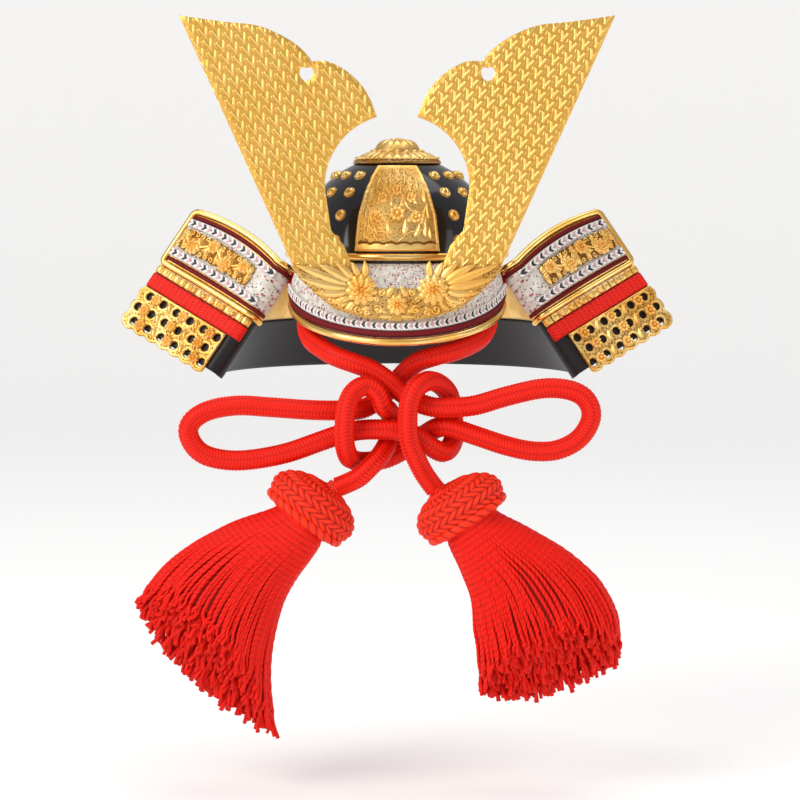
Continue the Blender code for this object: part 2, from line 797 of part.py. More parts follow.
def make_socket():
    right = [(row["out"] * SOCKET_HALF_WIDTH, row["down"] * HORN_FOOT) for row in SOCKET_OUTLINE]
    top = [(row["out"] * SOCKET_HALF_WIDTH, row["down"] * HORN_FOOT) for row in SOCKET_TOP]
    outline = right + [(-x, y) for x, y in right[-2::-1]]
    outline += [(-x, y) for x, y in top[::-1]] + top
    lift = GAP + SOCKET_THICKNESS / 2
    material = finish("gilt_socket", GOLD, 0.3, 1.0)
    socket = as_mesh(flat_plate("horn_socket", [outline], SOCKET_THICKNESS, horn_place(lift), material))
    front = lift + SOCKET_THICKNESS / 2
    extra = bmesh.new()
    bosses = ((-0.33, 0.45, 1.0), (0.33, 0.45, 1.0), (0.0, 0.72, 0.7))
    for out, down, size in bosses:
        place = Matrix.Translation((out * SOCKET_HALF_WIDTH, down * HORN_FOOT, 0.0))
        radius = SOCKET_BOSS_RADIUS * size
        spread = Matrix.Diagonal((radius, radius, SOCKET_BOSS_HEIGHT * size, 1.0))
        bmesh.ops.create_uvsphere(
            extra, u_segments=8, v_segments=6, radius=1.0, matrix=horn_place(front) @ place @ spread
        )
    post_height = HORN_FOOT * 0.66
    start = horn_place(lift) @ Vector((0.0, post_height, 0.0))
    inward = brim_length_at(start.z)
    end = brim_point(0.0, inward, BRIM_THICKNESS / 2 + GAP * 2).y
    length = end - start.y - SOCKET_POST_RADIUS * 0.8
    bmesh.ops.create_cone(
        extra,
        cap_ends=True,
        segments=8,
        radius1=SOCKET_POST_RADIUS,
        radius2=SOCKET_POST_RADIUS,
        depth=length,
        matrix=Matrix.Translation((0.0, start.y + length / 2, start.z)) @ Matrix.Rotation(pi / 2, 4, "X"),
    )
    join(socket, extra, "socket_relief", overlapping=True)


def brim_length_at(height):
    """How far in from its front edge the brim reaches this height."""
    down = brim_edge(0.0) - brim_root(0.0)
    return down.length * (brim_edge(0.0).z - height) / down.z


# Chin cord: chosen route points in millimetres, from where the cord leaves its ring under the bowl
LEFT_CORD_ROUTE = (
    (-33.4, -12.6, -10.9),
    (-31.6, -19.0, -15.9),
    (-32.2, -26.0, -22.3),
    (-30.5, -33.5, -27.2),
    (-26.0, -41.0, -30.2),
    (-21.5, -46.0, -32.5),
    (-15.4, -48.0, -34.6),
    (-9.5, -48.0, -36.8),
    (-4.1, -48.0, -40.2),
    (1.2, -48.0, -44.7),
    (6.5, -50.0, -48.0),
    (13.0, -51.5, -49.9),
    (19.5, -51.8, -49.9),
    (27.5, -51.0, -49.2),
    (38.5, -50.0, -46.1),
    (50.3, -50.0, -43.5),
    (59.2, -50.0, -43.8),
    (65.1, -50.0, -46.4),
    (67.8, -50.0, -51.2),
    (66.9, -50.0, -56.5),
    (62.7, -50.0, -61.8),
    (55.6, -50.0, -65.1),
    (47.3, -50.0, -65.4),
    (38.5, -50.0, -63.6),
    (28.0, -49.4, -60.2),
    (19.5, -49.0, -57.4),
    (14.8, -47.6, -57.2),
    (10.1, -42.2, -60.1),
    (4.1, -39.5, -64.8),
    (-3.6, -40.0, -68.8),
    (-11.0, -43.0, -69.8),
    (-15.2, -47.5, -68.8),
    (-17.2, -53.0, -66.6),
    (-18.3, -58.2, -61.5),
    (-18.3, -59.2, -55.0),
    (-17.4, -58.6, -48.6),
    (-15.0, -56.3, -44.1),
    (-10.9, -54.4, -42.2),
    (-7.0, -54.2, -44.7),
    (-4.8, -53.2, -49.2),
    (-2.8, -46.0, -52.0),
    (-1.8, -42.0, -55.6),
    (-2.1, -42.4, -59.4),
    (-3.6, -47.0, -63.4),
    (-6.2, -51.8, -67.2),
    (-9.6, -54.2, -70.6),
    (-13.4, -54.2, -74.2),
    (-18.2, -52.0, -76.8),
    (-20.9, -51.2, -77.9),
)
RIGHT_CORD_ROUTE = (
    (33.4, -12.6, -10.9),
    (31.6, -19.0, -15.9),
    (32.2, -26.0, -22.3),
    (28.8, -35.0, -27.0),
    (21.3, -43.0, -30.3),
    (13.0, -45.8, -32.4),
    (7.1, -43.7, -34.6),
    (2.4, -40.3, -38.7),
    (-1.8, -39.5, -43.5),
    (-6.5, -41.2, -48.0),
    (-11.8, -45.2, -50.8),
    (-17.8, -48.5, -51.2),
    (-29.6, -50.0, -51.0),
    (-44.4, -50.0, -50.0),
    (-55.6, -50.0, -49.4),
    (-65.1, -50.0, -50.9),
    (-71.0, -50.0, -54.1),
    (-73.1, -50.0, -58.3),
    (-71.3, -50.0, -63.3),
    (-66.9, -50.0, -66.9),
    (-59.2, -50.0, -68.6),
    (-50.3, -50.0, -68.3),
    (-38.5, -50.0, -66.0),
    (-26.6, -49.6, -61.9),
    (-18.9, -49.4, -59.3),
    (-13.0, -50.4, -58.0),
    (-5.9, -52.2, -57.6),
    (0.6, -52.4, -58.0),
    (6.5, -51.6, -60.0),
    (11.4, -51.0, -63.6),
    (16.6, -47.4, -66.0),
    (19.9, -41.2, -62.0),
    (19.8, -39.9, -54.6),
    (18.4, -42.0, -46.8),
    (15.2, -46.6, -42.4),
    (10.9, -52.1, -40.6),
    (6.5, -57.6, -42.9),
    (4.1, -59.6, -48.2),
    (3.6, -59.9, -54.7),
    (4.1, -59.4, -60.7),
    (6.5, -57.6, -67.1),
    (9.5, -54.6, -73.1),
    (13.1, -52.4, -78.3),
)
CORD_ROUTES = {"left": LEFT_CORD_ROUTE, "right": RIGHT_CORD_ROUTE}


def cord_ring_radius():
    """How far out the hidden stretch lies, in the corner between the bowl's skirt and the neck guard."""
    depth = (CORD_RING_DROP + GUARD_TOP) / cos(GUARD_FLARE)
    wall = guard_radius() + depth * sin(GUARD_FLARE)
    room = CORD_DIAMETER / 2 + GUARD_THICKNESS / 2 + GAP * 1.5
    return wall - room / cos(GUARD_FLARE)


def make_chin_cord(side_name, side):
    radius = cord_ring_radius()
    seam = Vector((side * GAP * 0.6, radius, -CORD_RING_DROP))
    start = pi - CORD_DIAMETER / 4 / radius
    end = FOLD_AZIMUTH + radians(9)
    ring = []
    for i in range(9):
        azimuth = start + (end - start) * i / 8
        ring.append(Vector((side * radius * sin(azimuth), -radius * cos(azimuth), -CORD_RING_DROP)))
    route = [Vector(point) * MM for point in CORD_ROUTES[side_name]]
    points = [seam] + smooth(ring + route, CORD_POINT_SPACING)
    tube(f"chin_cord_{side_name}", points, CORD_DIAMETER, finish(f"cord_{side_name}", RED_SILK, 0.5))


# Tassels: the head's place and lean, then the skirt's sections as shares of its length and width
TASSELS = {
    "left": {
        "head": Vector((-29.6, -51.0, -84.7)) * MM,
        "lean": radians(-37.6),
        "sections": (
            {"across": 0.03, "down": -0.08, "half_width": 0.12, "depth": 0.15, "tilt": -40},
            {"across": 0.0, "down": 0.0, "half_width": 0.19, "depth": 0.165, "tilt": -40},
            {"across": -0.19, "down": 0.14, "half_width": 0.25, "depth": 0.185, "tilt": -42},
            {"across": -0.34, "down": 0.3, "half_width": 0.33, "depth": 0.21, "tilt": -43},
            {"across": -0.46, "down": 0.52, "half_width": 0.41, "depth": 0.225, "tilt": -44},
            {"across": -0.52, "down": 0.82, "half_width": 0.49, "depth": 0.235, "tilt": -43},
        ),
    },
    "right": {
        "head": Vector((21.9, -52.0, -84.9)) * MM,
        "lean": radians(33),
        "sections": (
            {"across": -0.03, "down": -0.08, "half_width": 0.12, "depth": 0.15, "tilt": 33},
            {"across": 0.0, "down": 0.0, "half_width": 0.19, "depth": 0.165, "tilt": 33},
            {"across": 0.13, "down": 0.13, "half_width": 0.265, "depth": 0.185, "tilt": 28},
            {"across": 0.28, "down": 0.3, "half_width": 0.345, "depth": 0.21, "tilt": 22},
            {"across": 0.4, "down": 0.56, "half_width": 0.38, "depth": 0.225, "tilt": 18},
            {"across": 0.44, "down": 0.84, "half_width": 0.375, "depth": 0.235, "tilt": 16},
        ),
    },
}


def make_tassel(side_name):
    """A knotted head with a skirt of thread locks fused to it."""
    tassel = TASSELS[side_name]
    lean = tassel["lean"]
    skirt_top = tassel["head"] + Vector((sin(lean), 0.0, -cos(lean))) * HEAD_HALF_LENGTH
    bm = bmesh.new()
    rings = []
    sides = 2 * SKIRT_LOCKS
    for number, row in enumerate(tassel["sections"]):
        centre = skirt_top + Vector((row["across"], 0.0, -row["down"])) * SKIRT_LENGTH
        tilt = radians(row["tilt"])
        across = Vector((cos(tilt), 0.0, sin(tilt)))
        below = Vector((sin(tilt), 0.0, -cos(tilt)))
        last = number == len(tassel["sections"]) - 1
        ring = []
        for i in range(sides):
            turn = 2 * pi * i / sides
            wave = 1 + LOCK_RELIEF * (1 if i % 2 else -1) * min(number, 3) / 3
            point = centre + across * cos(turn) * row["half_width"] * SKIRT_WIDTH * wave
            point += Vector((0.0, 1.0, 0.0)) * sin(turn) * row["depth"] * SKIRT_WIDTH * wave
            if last:
                point += below * SKIRT_LENGTH * 0.12 * (1 - cos(turn) ** 2 * 0.9)
                point += below * SKIRT_LENGTH * (0.03 if i % 2 else -0.03)
            ring.append(bm.verts.new(point))
        rings.append(ring)
    for upper, lower in zip(rings, rings[1:]):
        for i in range(sides):
            j = (i + 1) % sides
            bm.faces.new((upper[i], upper[j], lower[j], lower[i]))
    for ring in (rings[0], rings[-1]):
        middle = bm.verts.new(sum((vert.co for vert in ring), Vector()) / sides)
        for i in range(sides):
            bm.faces.new((ring[i], ring[(i + 1) % sides], middle))
    material = finish(f"tassel_{side_name}", RED_SILK, 0.6)
    skirt = add_object(f"tassel_{side_name}", mesh_from(bm, "skirt"), material)
    head = bmesh.new()
    size = Matrix.Diagonal((HEAD_HALF_WIDTH, HEAD_HALF_DEPTH, HEAD_HALF_LENGTH, 1.0))
    turn = Matrix.Rotation(-lean, 4, "Y")
    place = Matrix.Translation(tassel["head"]) @ turn @ size
    bmesh.ops.create_uvsphere(head, u_segments=12, v_segments=7, radius=1.0, matrix=place)
    join(skirt, head, f"tassel_head_{side_name}")


make_bowl()
make_base_band()
make_crown_finial()
make_front_plate()
make_brim()
lame_gilt = finish("lame_gilt", GOLD, 0.4, 1.0)
make_lame("neck_lame_top", UPPER_LENGTH, 0.0, UPPER_DEPTH, RIM_DIAMETER + GAP, lame_gilt)
lame_lacquer = finish("lame_lacquer", LACQUER, 0.3)
make_lame("neck_lame_foot", LOWER_LENGTH, LOWER_START, LOWER_DEPTH, GAP, lame_lacquer)
make_back_lacing()
make_socket()
for side_name, side in SIDES:
    make_turnback_rim(side_name, side)
    make_upper_turnback(side_name, side)
    make_lower_turnback(side_name, side)
    make_horn(side_name, side)
    make_chin_cord(side_name, side)
    make_tassel(side_name)
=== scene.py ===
# %% [markdown]
# # A small samurai helmet in gilt, lacquer and red silk
#
# The rigid model gives the frame: where the bowl, horns, neck guard, cord and tassels are. The pieces made
# here stand over it with the surface that a maker would see: plaited silk, chased gold and printed leather.

from math import acos, ceil, cos, pi, radians, sin, sqrt

import bpy
import numpy as np
from mathutils import Matrix, Vector
from mathutils.geometry import delaunay_2d_cdt, interpolate_bezier


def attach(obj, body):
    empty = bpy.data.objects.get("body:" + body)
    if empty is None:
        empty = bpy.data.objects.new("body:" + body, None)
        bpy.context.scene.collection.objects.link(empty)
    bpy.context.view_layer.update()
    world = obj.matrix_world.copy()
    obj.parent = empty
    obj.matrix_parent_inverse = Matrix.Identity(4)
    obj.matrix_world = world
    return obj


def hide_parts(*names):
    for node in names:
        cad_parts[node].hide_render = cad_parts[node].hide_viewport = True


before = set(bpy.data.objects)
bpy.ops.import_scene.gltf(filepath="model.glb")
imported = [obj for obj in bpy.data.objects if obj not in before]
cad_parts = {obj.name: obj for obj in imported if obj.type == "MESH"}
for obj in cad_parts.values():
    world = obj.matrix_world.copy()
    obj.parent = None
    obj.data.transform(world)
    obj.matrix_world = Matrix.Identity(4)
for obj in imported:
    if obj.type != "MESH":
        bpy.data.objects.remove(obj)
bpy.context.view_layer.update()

# %% [markdown]
# ## Camera
# The photograph was taken from straight ahead, with the lens level with the top of the bowl and a little over
# a metre away. The same place is used here, so the horns keep their true slant, and the camera tilts down to
# put the whole helmet in the picture.

# %% Camera
camera = bpy.data.objects.new("camera", bpy.data.cameras.new("camera"))
camera.data.sensor_width = 36
camera.data.lens = 142
camera.location = (0, -1.15, 0.037)
looks_at = Vector((0.001, -0.03, -0.049))
camera.rotation_euler = (looks_at - camera.location).to_track_quat("-Z", "Y").to_euler()
bpy.context.scene.collection.objects.link(camera)
bpy.context.scene.camera = camera
print("camera to helmet:", round((looks_at - camera.location).length, 3), "m")

# %% [markdown]
# ## Shapes as numbers
# A helmet like this could be modelled by hand. Here every piece is worked out in millimetres instead, because
# thousands of stitches and petals then follow from a few sums. A shape is a table of points, a table of faces
# and, for each point, three numbers that its finish reads: how far along the piece it is, how far across, and
# how high in the relief. Each function below adds its shape to those gathered so far, which become one piece.

# %% Gathering shapes into pieces
MM = 0.001


class Shapes:
    """Points and faces gathered from several shapes, in millimetres."""

    def __init__(self):
        self.points, self.faces, self.marks, self.count = [], [], [], 0

    def add(self, points, faces, marks=None):
        points = np.asarray(points, float).reshape(-1, 3)
        if marks is None:
            marks = np.ones((len(points), 3))
        self.points.append(points)
        self.marks.append(np.asarray(marks, float).reshape(-1, 3))
        turned = -1 if self.volume(points, faces) < 0 else 1
        for table in faces:
            self.faces.append(np.asarray(table)[:, ::turned] + self.count)
        self.count += len(points)
        return self

    @staticmethod
    def volume(points, faces):
        """The volume inside the faces, which is negative when they look inwards."""
        total = 0.0
        for table in faces:
            corners = (points - points.mean(axis=0))[np.asarray(table)]
            areas = np.cross(corners, np.roll(corners, -1, axis=1)).sum(axis=1)
            total += (corners.mean(axis=1) * areas).sum() / 6
        return total

    def piece(self, name, material, slot, node=None):
        """One smooth mesh of all the shapes. It stands for the solid of its name, or for the one given."""
        name = name.replace(" ", "_")
        mesh = bpy.data.meshes.new(name)
        faces = [face for table in self.faces for face in table.tolist()]
        mesh.from_pydata(np.concatenate(self.points) * MM, [], faces)
        marks = mesh.attributes.new("marks", "FLOAT_VECTOR", "POINT")
        marks.data.foreach_set("vector", np.concatenate(self.marks).astype(np.float32).ravel())
        mesh.shade_smooth()
        mesh.materials.append(material)
        item = bpy.data.objects.new(name, mesh)
        bpy.context.scene.collection.objects.link(item)
        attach(item, "root")
        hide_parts(node or name)
        print(name, sum(len(face) - 2 for face in faces), "triangles")
        return item

# %% Faces of a table and of a fan
def lattice(rows, columns, closed=False):
    """The four-cornered faces of a table of points, row by row; closed joins the last column to the first."""
    across = columns if closed else columns - 1
    row, column = np.meshgrid(np.arange(rows - 1), np.arange(across), indexing="ij")
    start = (row * columns + column).ravel()
    after = (row * columns + (column + 1) % columns).ravel()
    return [np.stack([start, after, after + columns, start + columns], axis=1)]


def fan(first, count, middle, flip=False):
    """Triangles from a ring of points to the point in its middle."""
    here = first + np.arange(count)
    after = first + (np.arange(count) + 1) % count
    both = (after, here) if flip else (here, after)
    return np.stack([*both, np.full(count, middle)], axis=1)


print("faces between 3 rows of 4 points:", len(lattice(3, 4)[0]))

# %% [markdown]
# ## Finishes as sums
# A finish is a small network of shader nodes. They could be set out by hand in the shader editor, but a wire
# from one of them can also be used like a number in a Python sum. Each sum adds the node that does it, so the
# recipes below read as plain arithmetic.

# %% Wires in sums
class Wire:
    """A value or colour in a finish that can be used in sums."""

    def __init__(self, finish, socket):
        self.finish, self.socket = finish, socket

    def __add__(self, other):
        return self.finish.sum("ADD", self, other)

    def __sub__(self, other):
        return self.finish.sum("SUBTRACT", self, other)

    def __mul__(self, other):
        return self.finish.sum("MULTIPLY", self, other)

    def __truediv__(self, other):
        return self.finish.sum("DIVIDE", self, other)

    def __rsub__(self, other):
        return self.finish.sum("SUBTRACT", other, self)

    def __rtruediv__(self, other):
        return self.finish.sum("DIVIDE", other, self)

    __radd__ = __add__
    __rmul__ = __mul__

# %% Finishes
class Finish:
    """A material that is written as sums."""

    def __init__(self, name, **constants):
        self.material = bpy.data.materials.new(name)
        self.material.use_nodes = True
        self.nodes = self.material.node_tree.nodes
        self.shader = self.nodes["Principled BSDF"]
        for socket, value in constants.items():
            self.shader.inputs[socket.replace("_", " ")].default_value = value
        marks = self.node("ShaderNodeAttribute", {"attribute_name": "marks"}, output="Vector")
        split = self.node("ShaderNodeSeparateXYZ", {}, marks, output=None)
        self.along, self.across, self.high = (Wire(self, split.outputs[i]) for i in range(3))
        self.place = self.node("ShaderNodeTexCoord", {}, output="Object")

    def feed(self, socket, value):
        if isinstance(value, Wire):
            self.material.node_tree.links.new(value.socket, socket)
        else:
            socket.default_value = value

    def node(self, kind, settings, *values, output=0, **named):
        """Any node: its settings first, then its inputs in order or by name."""
        node = self.nodes.new(kind)
        for key, value in settings.items():
            setattr(node, key, value)
        for place, value in [*enumerate(values), *named.items()]:
            if value is not None:
                self.feed(node.inputs[place], value)
        return node if output is None else Wire(self, node.outputs[output])

    def sum(self, operation, *values):
        return self.node("ShaderNodeMath", {"operation": operation}, *values)

    def limit(self, value, low, high):
        """The value's way from low to high, softly turned into 0 to 1."""
        return self.node("ShaderNodeMapRange", {"interpolation_type": "SMOOTHSTEP"}, value, low, high)

    def mix(self, share, first, second):
        """The first colour where share is 0 and the second where it is 1."""
        node = self.node("ShaderNodeMix", {"data_type": "RGBA"}, share, output=None)
        for socket, colour in ((node.inputs[6], first), (node.inputs[7], second)):
            self.feed(socket, colour if isinstance(colour, Wire) else (*colour, 1.0))
        return Wire(self, node.outputs[2])

    def noise(self, scale, detail=2.0, where=None):
        return self.node("ShaderNodeTexNoise", {}, where or self.place, Scale=scale, Detail=detail)

    def bump(self, height, distance, strength=0.6):
        """Height 0 to 1 as a fine roughness of the surface, its distance in millimetres."""
        lifted = self.node("ShaderNodeBump", {}, strength, distance * MM, Height=height, output="Normal")
        self.feed(self.shader.inputs["Normal"], lifted)

    def wear(self, socket, value):
        self.feed(self.shader.inputs[socket], value)

# %% [markdown]
# ## Red silk
# The cord, the lacing and the tassels are dyed silk. Its threads catch light along their length, so the red
# is painted a little lighter where a thread stands up and darker where it goes under its neighbour: painted
# shade in the hollows of the plait. Each shape marks how high it stands, so one recipe does for all of them,
# and a low gloss keeps white light from paling it.

# %% Red silk
SILK_SHINE = {
    "Sheen_Weight": 0.06,
    "Sheen_Roughness": 0.4,
    "Sheen_Tint": (1.0, 0.12, 0.06, 1.0),
    "Specular_IOR_Level": 0.18,
}
FIBRE_GRAIN = 1600.0


def red_silk(name, deep, bright, roughness=0.5):
    finish = Finish(name, Roughness=roughness, **SILK_SHINE)
    fibre = finish.noise(FIBRE_GRAIN, 3.0)
    # Painted shade: the height mark takes the colour from the deep red in the hollows to the bright red on
    # the crests; the fibre noise adds a real grain.
    share = finish.limit(finish.high * 0.85 + fibre * 0.3, 0.1, 1.0)
    finish.wear("Base Color", finish.mix(share, deep, bright))
    finish.bump(fibre, 0.08)
    return finish.material


cord_silk = red_silk("cord silk", (0.42, 0.003, 0.001), (0.92, 0.016, 0.004))
thread_silk = red_silk("thread silk", (0.24, 0.002, 0.001), (0.90, 0.012, 0.004))
cap_silk = red_silk("cap silk", (0.24, 0.002, 0.001), (0.95, 0.035, 0.010), 0.42)
lacing_silk = red_silk("lacing silk", (0.30, 0.003, 0.002), (0.90, 0.020, 0.010))
print("red silks:", cord_silk.name, thread_silk.name, cap_silk.name, lacing_silk.name)

# %% [markdown]
# ## Chin cord
# A round braid of red silk, about seven millimetres thick, lies in a ring under the bowl's edge, comes out on
# both sides of the brim and is tied in a bow under it. It could be a curve with a bevel and a picture of a
# plait, but then its outline would be smooth. So the plait is real relief along the solid model's route:
# columns of short slanted stitches, each leaning the other way than its neighbour.

# %% The cord's route
CORD_RADIUS = 3.6
CORD_RING = {"radius": 36.97, "drop": 8.2, "start": 177.2, "end": 84.0, "seam": 0.18}
CORD_ROUTES = {
    "left": (
        (-33.4, -12.6, -10.9), (-31.6, -19.0, -15.9), (-32.2, -26.0, -22.3), (-30.5, -33.5, -27.2),
        (-26.0, -41.0, -30.2), (-21.5, -46.0, -32.5), (-15.4, -48.0, -34.6), (-9.5, -48.0, -36.8),
        (-4.1, -48.0, -40.2), (1.2, -48.0, -44.7), (6.5, -50.0, -48.0), (13.0, -51.5, -49.9),
        (19.5, -51.8, -49.9), (27.5, -51.0, -49.2), (38.5, -50.0, -46.1), (50.3, -50.0, -43.5),
        (59.2, -50.0, -43.8), (65.1, -50.0, -46.4), (67.8, -50.0, -51.2), (66.9, -50.0, -56.5),
        (62.7, -50.0, -61.8), (55.6, -50.0, -65.1), (47.3, -50.0, -65.4), (38.5, -50.0, -63.6),
        (28.0, -49.4, -60.2), (19.5, -49.0, -57.4), (14.8, -47.6, -57.2), (10.1, -42.2, -60.1),
        (4.1, -39.5, -64.8), (-3.6, -40.0, -68.8), (-11.0, -43.0, -69.8), (-15.2, -47.5, -68.8),
        (-17.2, -53.0, -66.6), (-18.3, -58.2, -61.5), (-18.3, -59.2, -55.0), (-17.4, -58.6, -48.6),
        (-15.0, -56.3, -44.1), (-10.9, -54.4, -42.2), (-7.0, -54.2, -44.7), (-4.8, -53.2, -49.2),
        (-2.8, -46.0, -52.0), (-1.8, -42.0, -55.6), (-2.1, -42.4, -59.4), (-3.6, -47.0, -63.4),
        (-6.2, -51.8, -67.2), (-9.6, -54.2, -70.6), (-13.4, -54.2, -74.2), (-18.2, -52.0, -76.8),
        (-20.9, -51.2, -77.9),
    ),
    "right": (
        (33.4, -12.6, -10.9), (31.6, -19.0, -15.9), (32.2, -26.0, -22.3), (28.8, -35.0, -27.0),
        (21.3, -43.0, -30.3), (13.0, -45.8, -32.4), (7.1, -43.7, -34.6), (2.4, -40.3, -38.7),
        (-1.8, -39.5, -43.5), (-6.5, -41.2, -48.0), (-11.8, -45.2, -50.8), (-17.8, -48.5, -51.2),
        (-29.6, -50.0, -51.0), (-44.4, -50.0, -50.0), (-55.6, -50.0, -49.4), (-65.1, -50.0, -50.9),
        (-71.0, -50.0, -54.1), (-73.1, -50.0, -58.3), (-71.3, -50.0, -63.3), (-66.9, -50.0, -66.9),
        (-59.2, -50.0, -68.6), (-50.3, -50.0, -68.3), (-38.5, -50.0, -66.0), (-26.6, -49.6, -61.9),
        (-18.9, -49.4, -59.3), (-13.0, -50.4, -58.0), (-5.9, -52.2, -57.6), (0.6, -52.4, -58.0),
        (6.5, -51.6, -60.0), (11.4, -51.0, -63.6), (16.6, -47.4, -66.0), (19.9, -41.2, -62.0),
        (19.8, -39.9, -54.6), (18.4, -42.0, -46.8), (15.2, -46.6, -42.4), (10.9, -52.1, -40.6),
        (6.5, -57.6, -42.9), (4.1, -59.6, -48.2), (3.6, -59.9, -54.7), (4.1, -59.4, -60.7),
        (6.5, -57.6, -67.1), (9.5, -54.6, -73.1), (13.1, -52.4, -78.3),
    ),
}
print("points on the cord's way:", {side_name: len(route) for side_name, route in CORD_ROUTES.items()})

# %% Smooth lines
def smooth_line(points, spacing):
    """Evenly spaced points of a smooth curve through the given ones."""
    points = [Vector(point) for point in points]
    fine = []
    for i in range(len(points) - 1):
        before, start = points[max(i - 1, 0)], points[i]
        end, after = points[i + 1], points[min(i + 2, len(points) - 1)]
        handles = (start + (end - before) / 6, end - (after - start) / 6)
        fine += interpolate_bezier(start, *handles, end, 25)[:-1]
    fine = np.array([*fine, points[-1]])
    run = np.concatenate([[0], np.cumsum(np.linalg.norm(np.diff(fine, axis=0), axis=1))])
    wanted = np.linspace(0, run[-1], ceil(run[-1] / spacing) + 1)
    return np.stack([np.interp(wanted, run, fine[:, axis]) for axis in range(3)], axis=1)

# %% Round bars
def line_frames(points, first=(0.0, 0.0, 1.0)):
    """Two directions across a line at each point, which don't twist."""
    ahead = np.gradient(points, axis=0)
    ahead /= np.linalg.norm(ahead, axis=1)[:, None]
    beside = np.zeros_like(points)
    last = np.array(first)
    for i, direction in enumerate(ahead):
        last = last - direction * last.dot(direction)
        last /= np.linalg.norm(last)
        beside[i] = last
    return beside, np.cross(ahead, beside)


def tube(shapes, points, radius, sides, relief, first=(0.0, 0.0, 1.0)):
    """A round bar along points; relief(along, turn) gives the share of its radius and its height."""
    beside, above = line_frames(points, first)
    steps = np.linalg.norm(np.diff(points, axis=0), axis=1)
    run = np.concatenate([[0], np.cumsum(steps)])[:, None]
    turn = (2 * pi * np.arange(sides) / sides)[None, :]
    share, high = relief(run, turn)
    reach = (radius * share)[..., None]
    out = np.cos(turn)[..., None] * beside[:, None] + np.sin(turn)[..., None] * above[:, None]
    rings = points[:, None] + out * reach
    marks = np.stack(np.broadcast_arrays(run, turn / (2 * pi), high), axis=2)
    ends = np.stack([points[0], points[-1]])
    last = len(points) * sides
    faces = lattice(len(points), sides, closed=True)
    faces += [fan(0, sides, last, flip=True), fan(last - sides, sides, last + 1)]
    marks = np.concatenate([marks.reshape(-1, 3), np.full((2, 3), 0.5)])
    return shapes.add(np.concatenate([rings.reshape(-1, 3), ends]), faces, marks)

# %% Plaiting the cord
PLAIT_PITCH = 1.15
PLAIT_COLUMNS = 6
PLAIT_DEPTH = 0.5
SIDES = (("left", -1), ("right", 1))


def stitches(along, across, pitch, slant=0.9):
    """A plait's relief, 0 to 1: columns one unit wide whose stitches lean to the one side and the other."""
    column = np.floor(across)
    inside = across - column - 0.5
    lean = np.where(column % 2 == 0, 1.0, -1.0)
    phase = (along / pitch + lean * inside * slant) % 1.0
    yarn = np.sqrt(np.clip(1 - (2 * phase - 1) ** 2, 0, 1))
    return yarn * np.sqrt(np.clip(1 - (1.75 * inside) ** 2, 0, 1))


def plaited(run, turn):
    high = stitches(run, turn / (2 * pi) * PLAIT_COLUMNS, PLAIT_PITCH)
    return (1 - PLAIT_DEPTH * (1 - high) / CORD_RADIUS) * 1.005, high


def cord_line(side_name, side):
    """The cord's centreline, from its seam behind the neck to the tassel."""
    ring = []
    out, drop = CORD_RING["radius"], CORD_RING["drop"]
    for azimuth in np.radians(np.linspace(CORD_RING["start"], CORD_RING["end"], 9)):
        ring.append((side * out * sin(azimuth), -out * cos(azimuth), -drop))
    line = smooth_line(ring + list(CORD_ROUTES[side_name]), PLAIT_PITCH / 4)
    return np.concatenate([[(side * CORD_RING["seam"], out, -drop)], line])


cords = {}
for side_name, side in SIDES:
    line = cord_line(side_name, side)
    cord = tube(Shapes(), line, CORD_RADIUS, 30, plaited)
    cord = cord.piece(f"chin cord {side_name}", cord_silk, "red_cord")
    length = np.linalg.norm(np.diff(line, axis=0), axis=1).sum()
    cords[side_name] = (cord, line, length)
    print("cord", side_name, round(length), "mm long")

# %% [markdown]
# ## Tassels
# Each cord ends in a tassel: a cap crocheted over the end, with a rolled edge, and a skirt of some hundreds
# of twisted threads, cut off aslant so that the thread ends show in front. Particle hair would leave no mesh
# to keep, so every thread is a tube of its own inside the solid model's sections. A dark core keeps the light
# from coming through between them; its dark red is painted shade for the inner threads. A section says how
# far across and down its centre is, as shares of the skirt's length, half its width and half its depth, as
# shares of the skirt's width, and its tilt in degrees.

# %% The tassels' sizes
TASSEL_SKIRT = {"length": 62.0, "width": 68.0}
CAP_SIZE = np.array([16.5, 12.5, 9.0])
TASSELS = {
    "left": {
        "head": (-29.6, -51.0, -84.7),
        "lean": -37.6,
        "seed": 7,
        "sections": (
            (0.03, -0.08, 0.12, 0.15, -40),
            (0.0, 0.0, 0.19, 0.165, -40),
            (-0.19, 0.14, 0.25, 0.185, -42),
            (-0.34, 0.3, 0.33, 0.21, -43),
            (-0.46, 0.52, 0.41, 0.225, -44),
            (-0.52, 0.82, 0.49, 0.235, -43),
        ),
    },
    "right": {
        "head": (21.9, -52.0, -84.9),
        "lean": 33.0,
        "seed": 8,
        "sections": (
            (-0.03, -0.08, 0.12, 0.15, 33),
            (0.0, 0.0, 0.19, 0.165, 33),
            (0.13, 0.13, 0.265, 0.185, 28),
            (0.28, 0.3, 0.345, 0.21, 22),
            (0.4, 0.56, 0.38, 0.225, 18),
            (0.44, 0.84, 0.375, 0.235, 16),
        ),
    },
}
SKIRT_SAG = {"from": 0.75, "depth": 0.12}
print("tassel skirts, mm:", TASSEL_SKIRT)


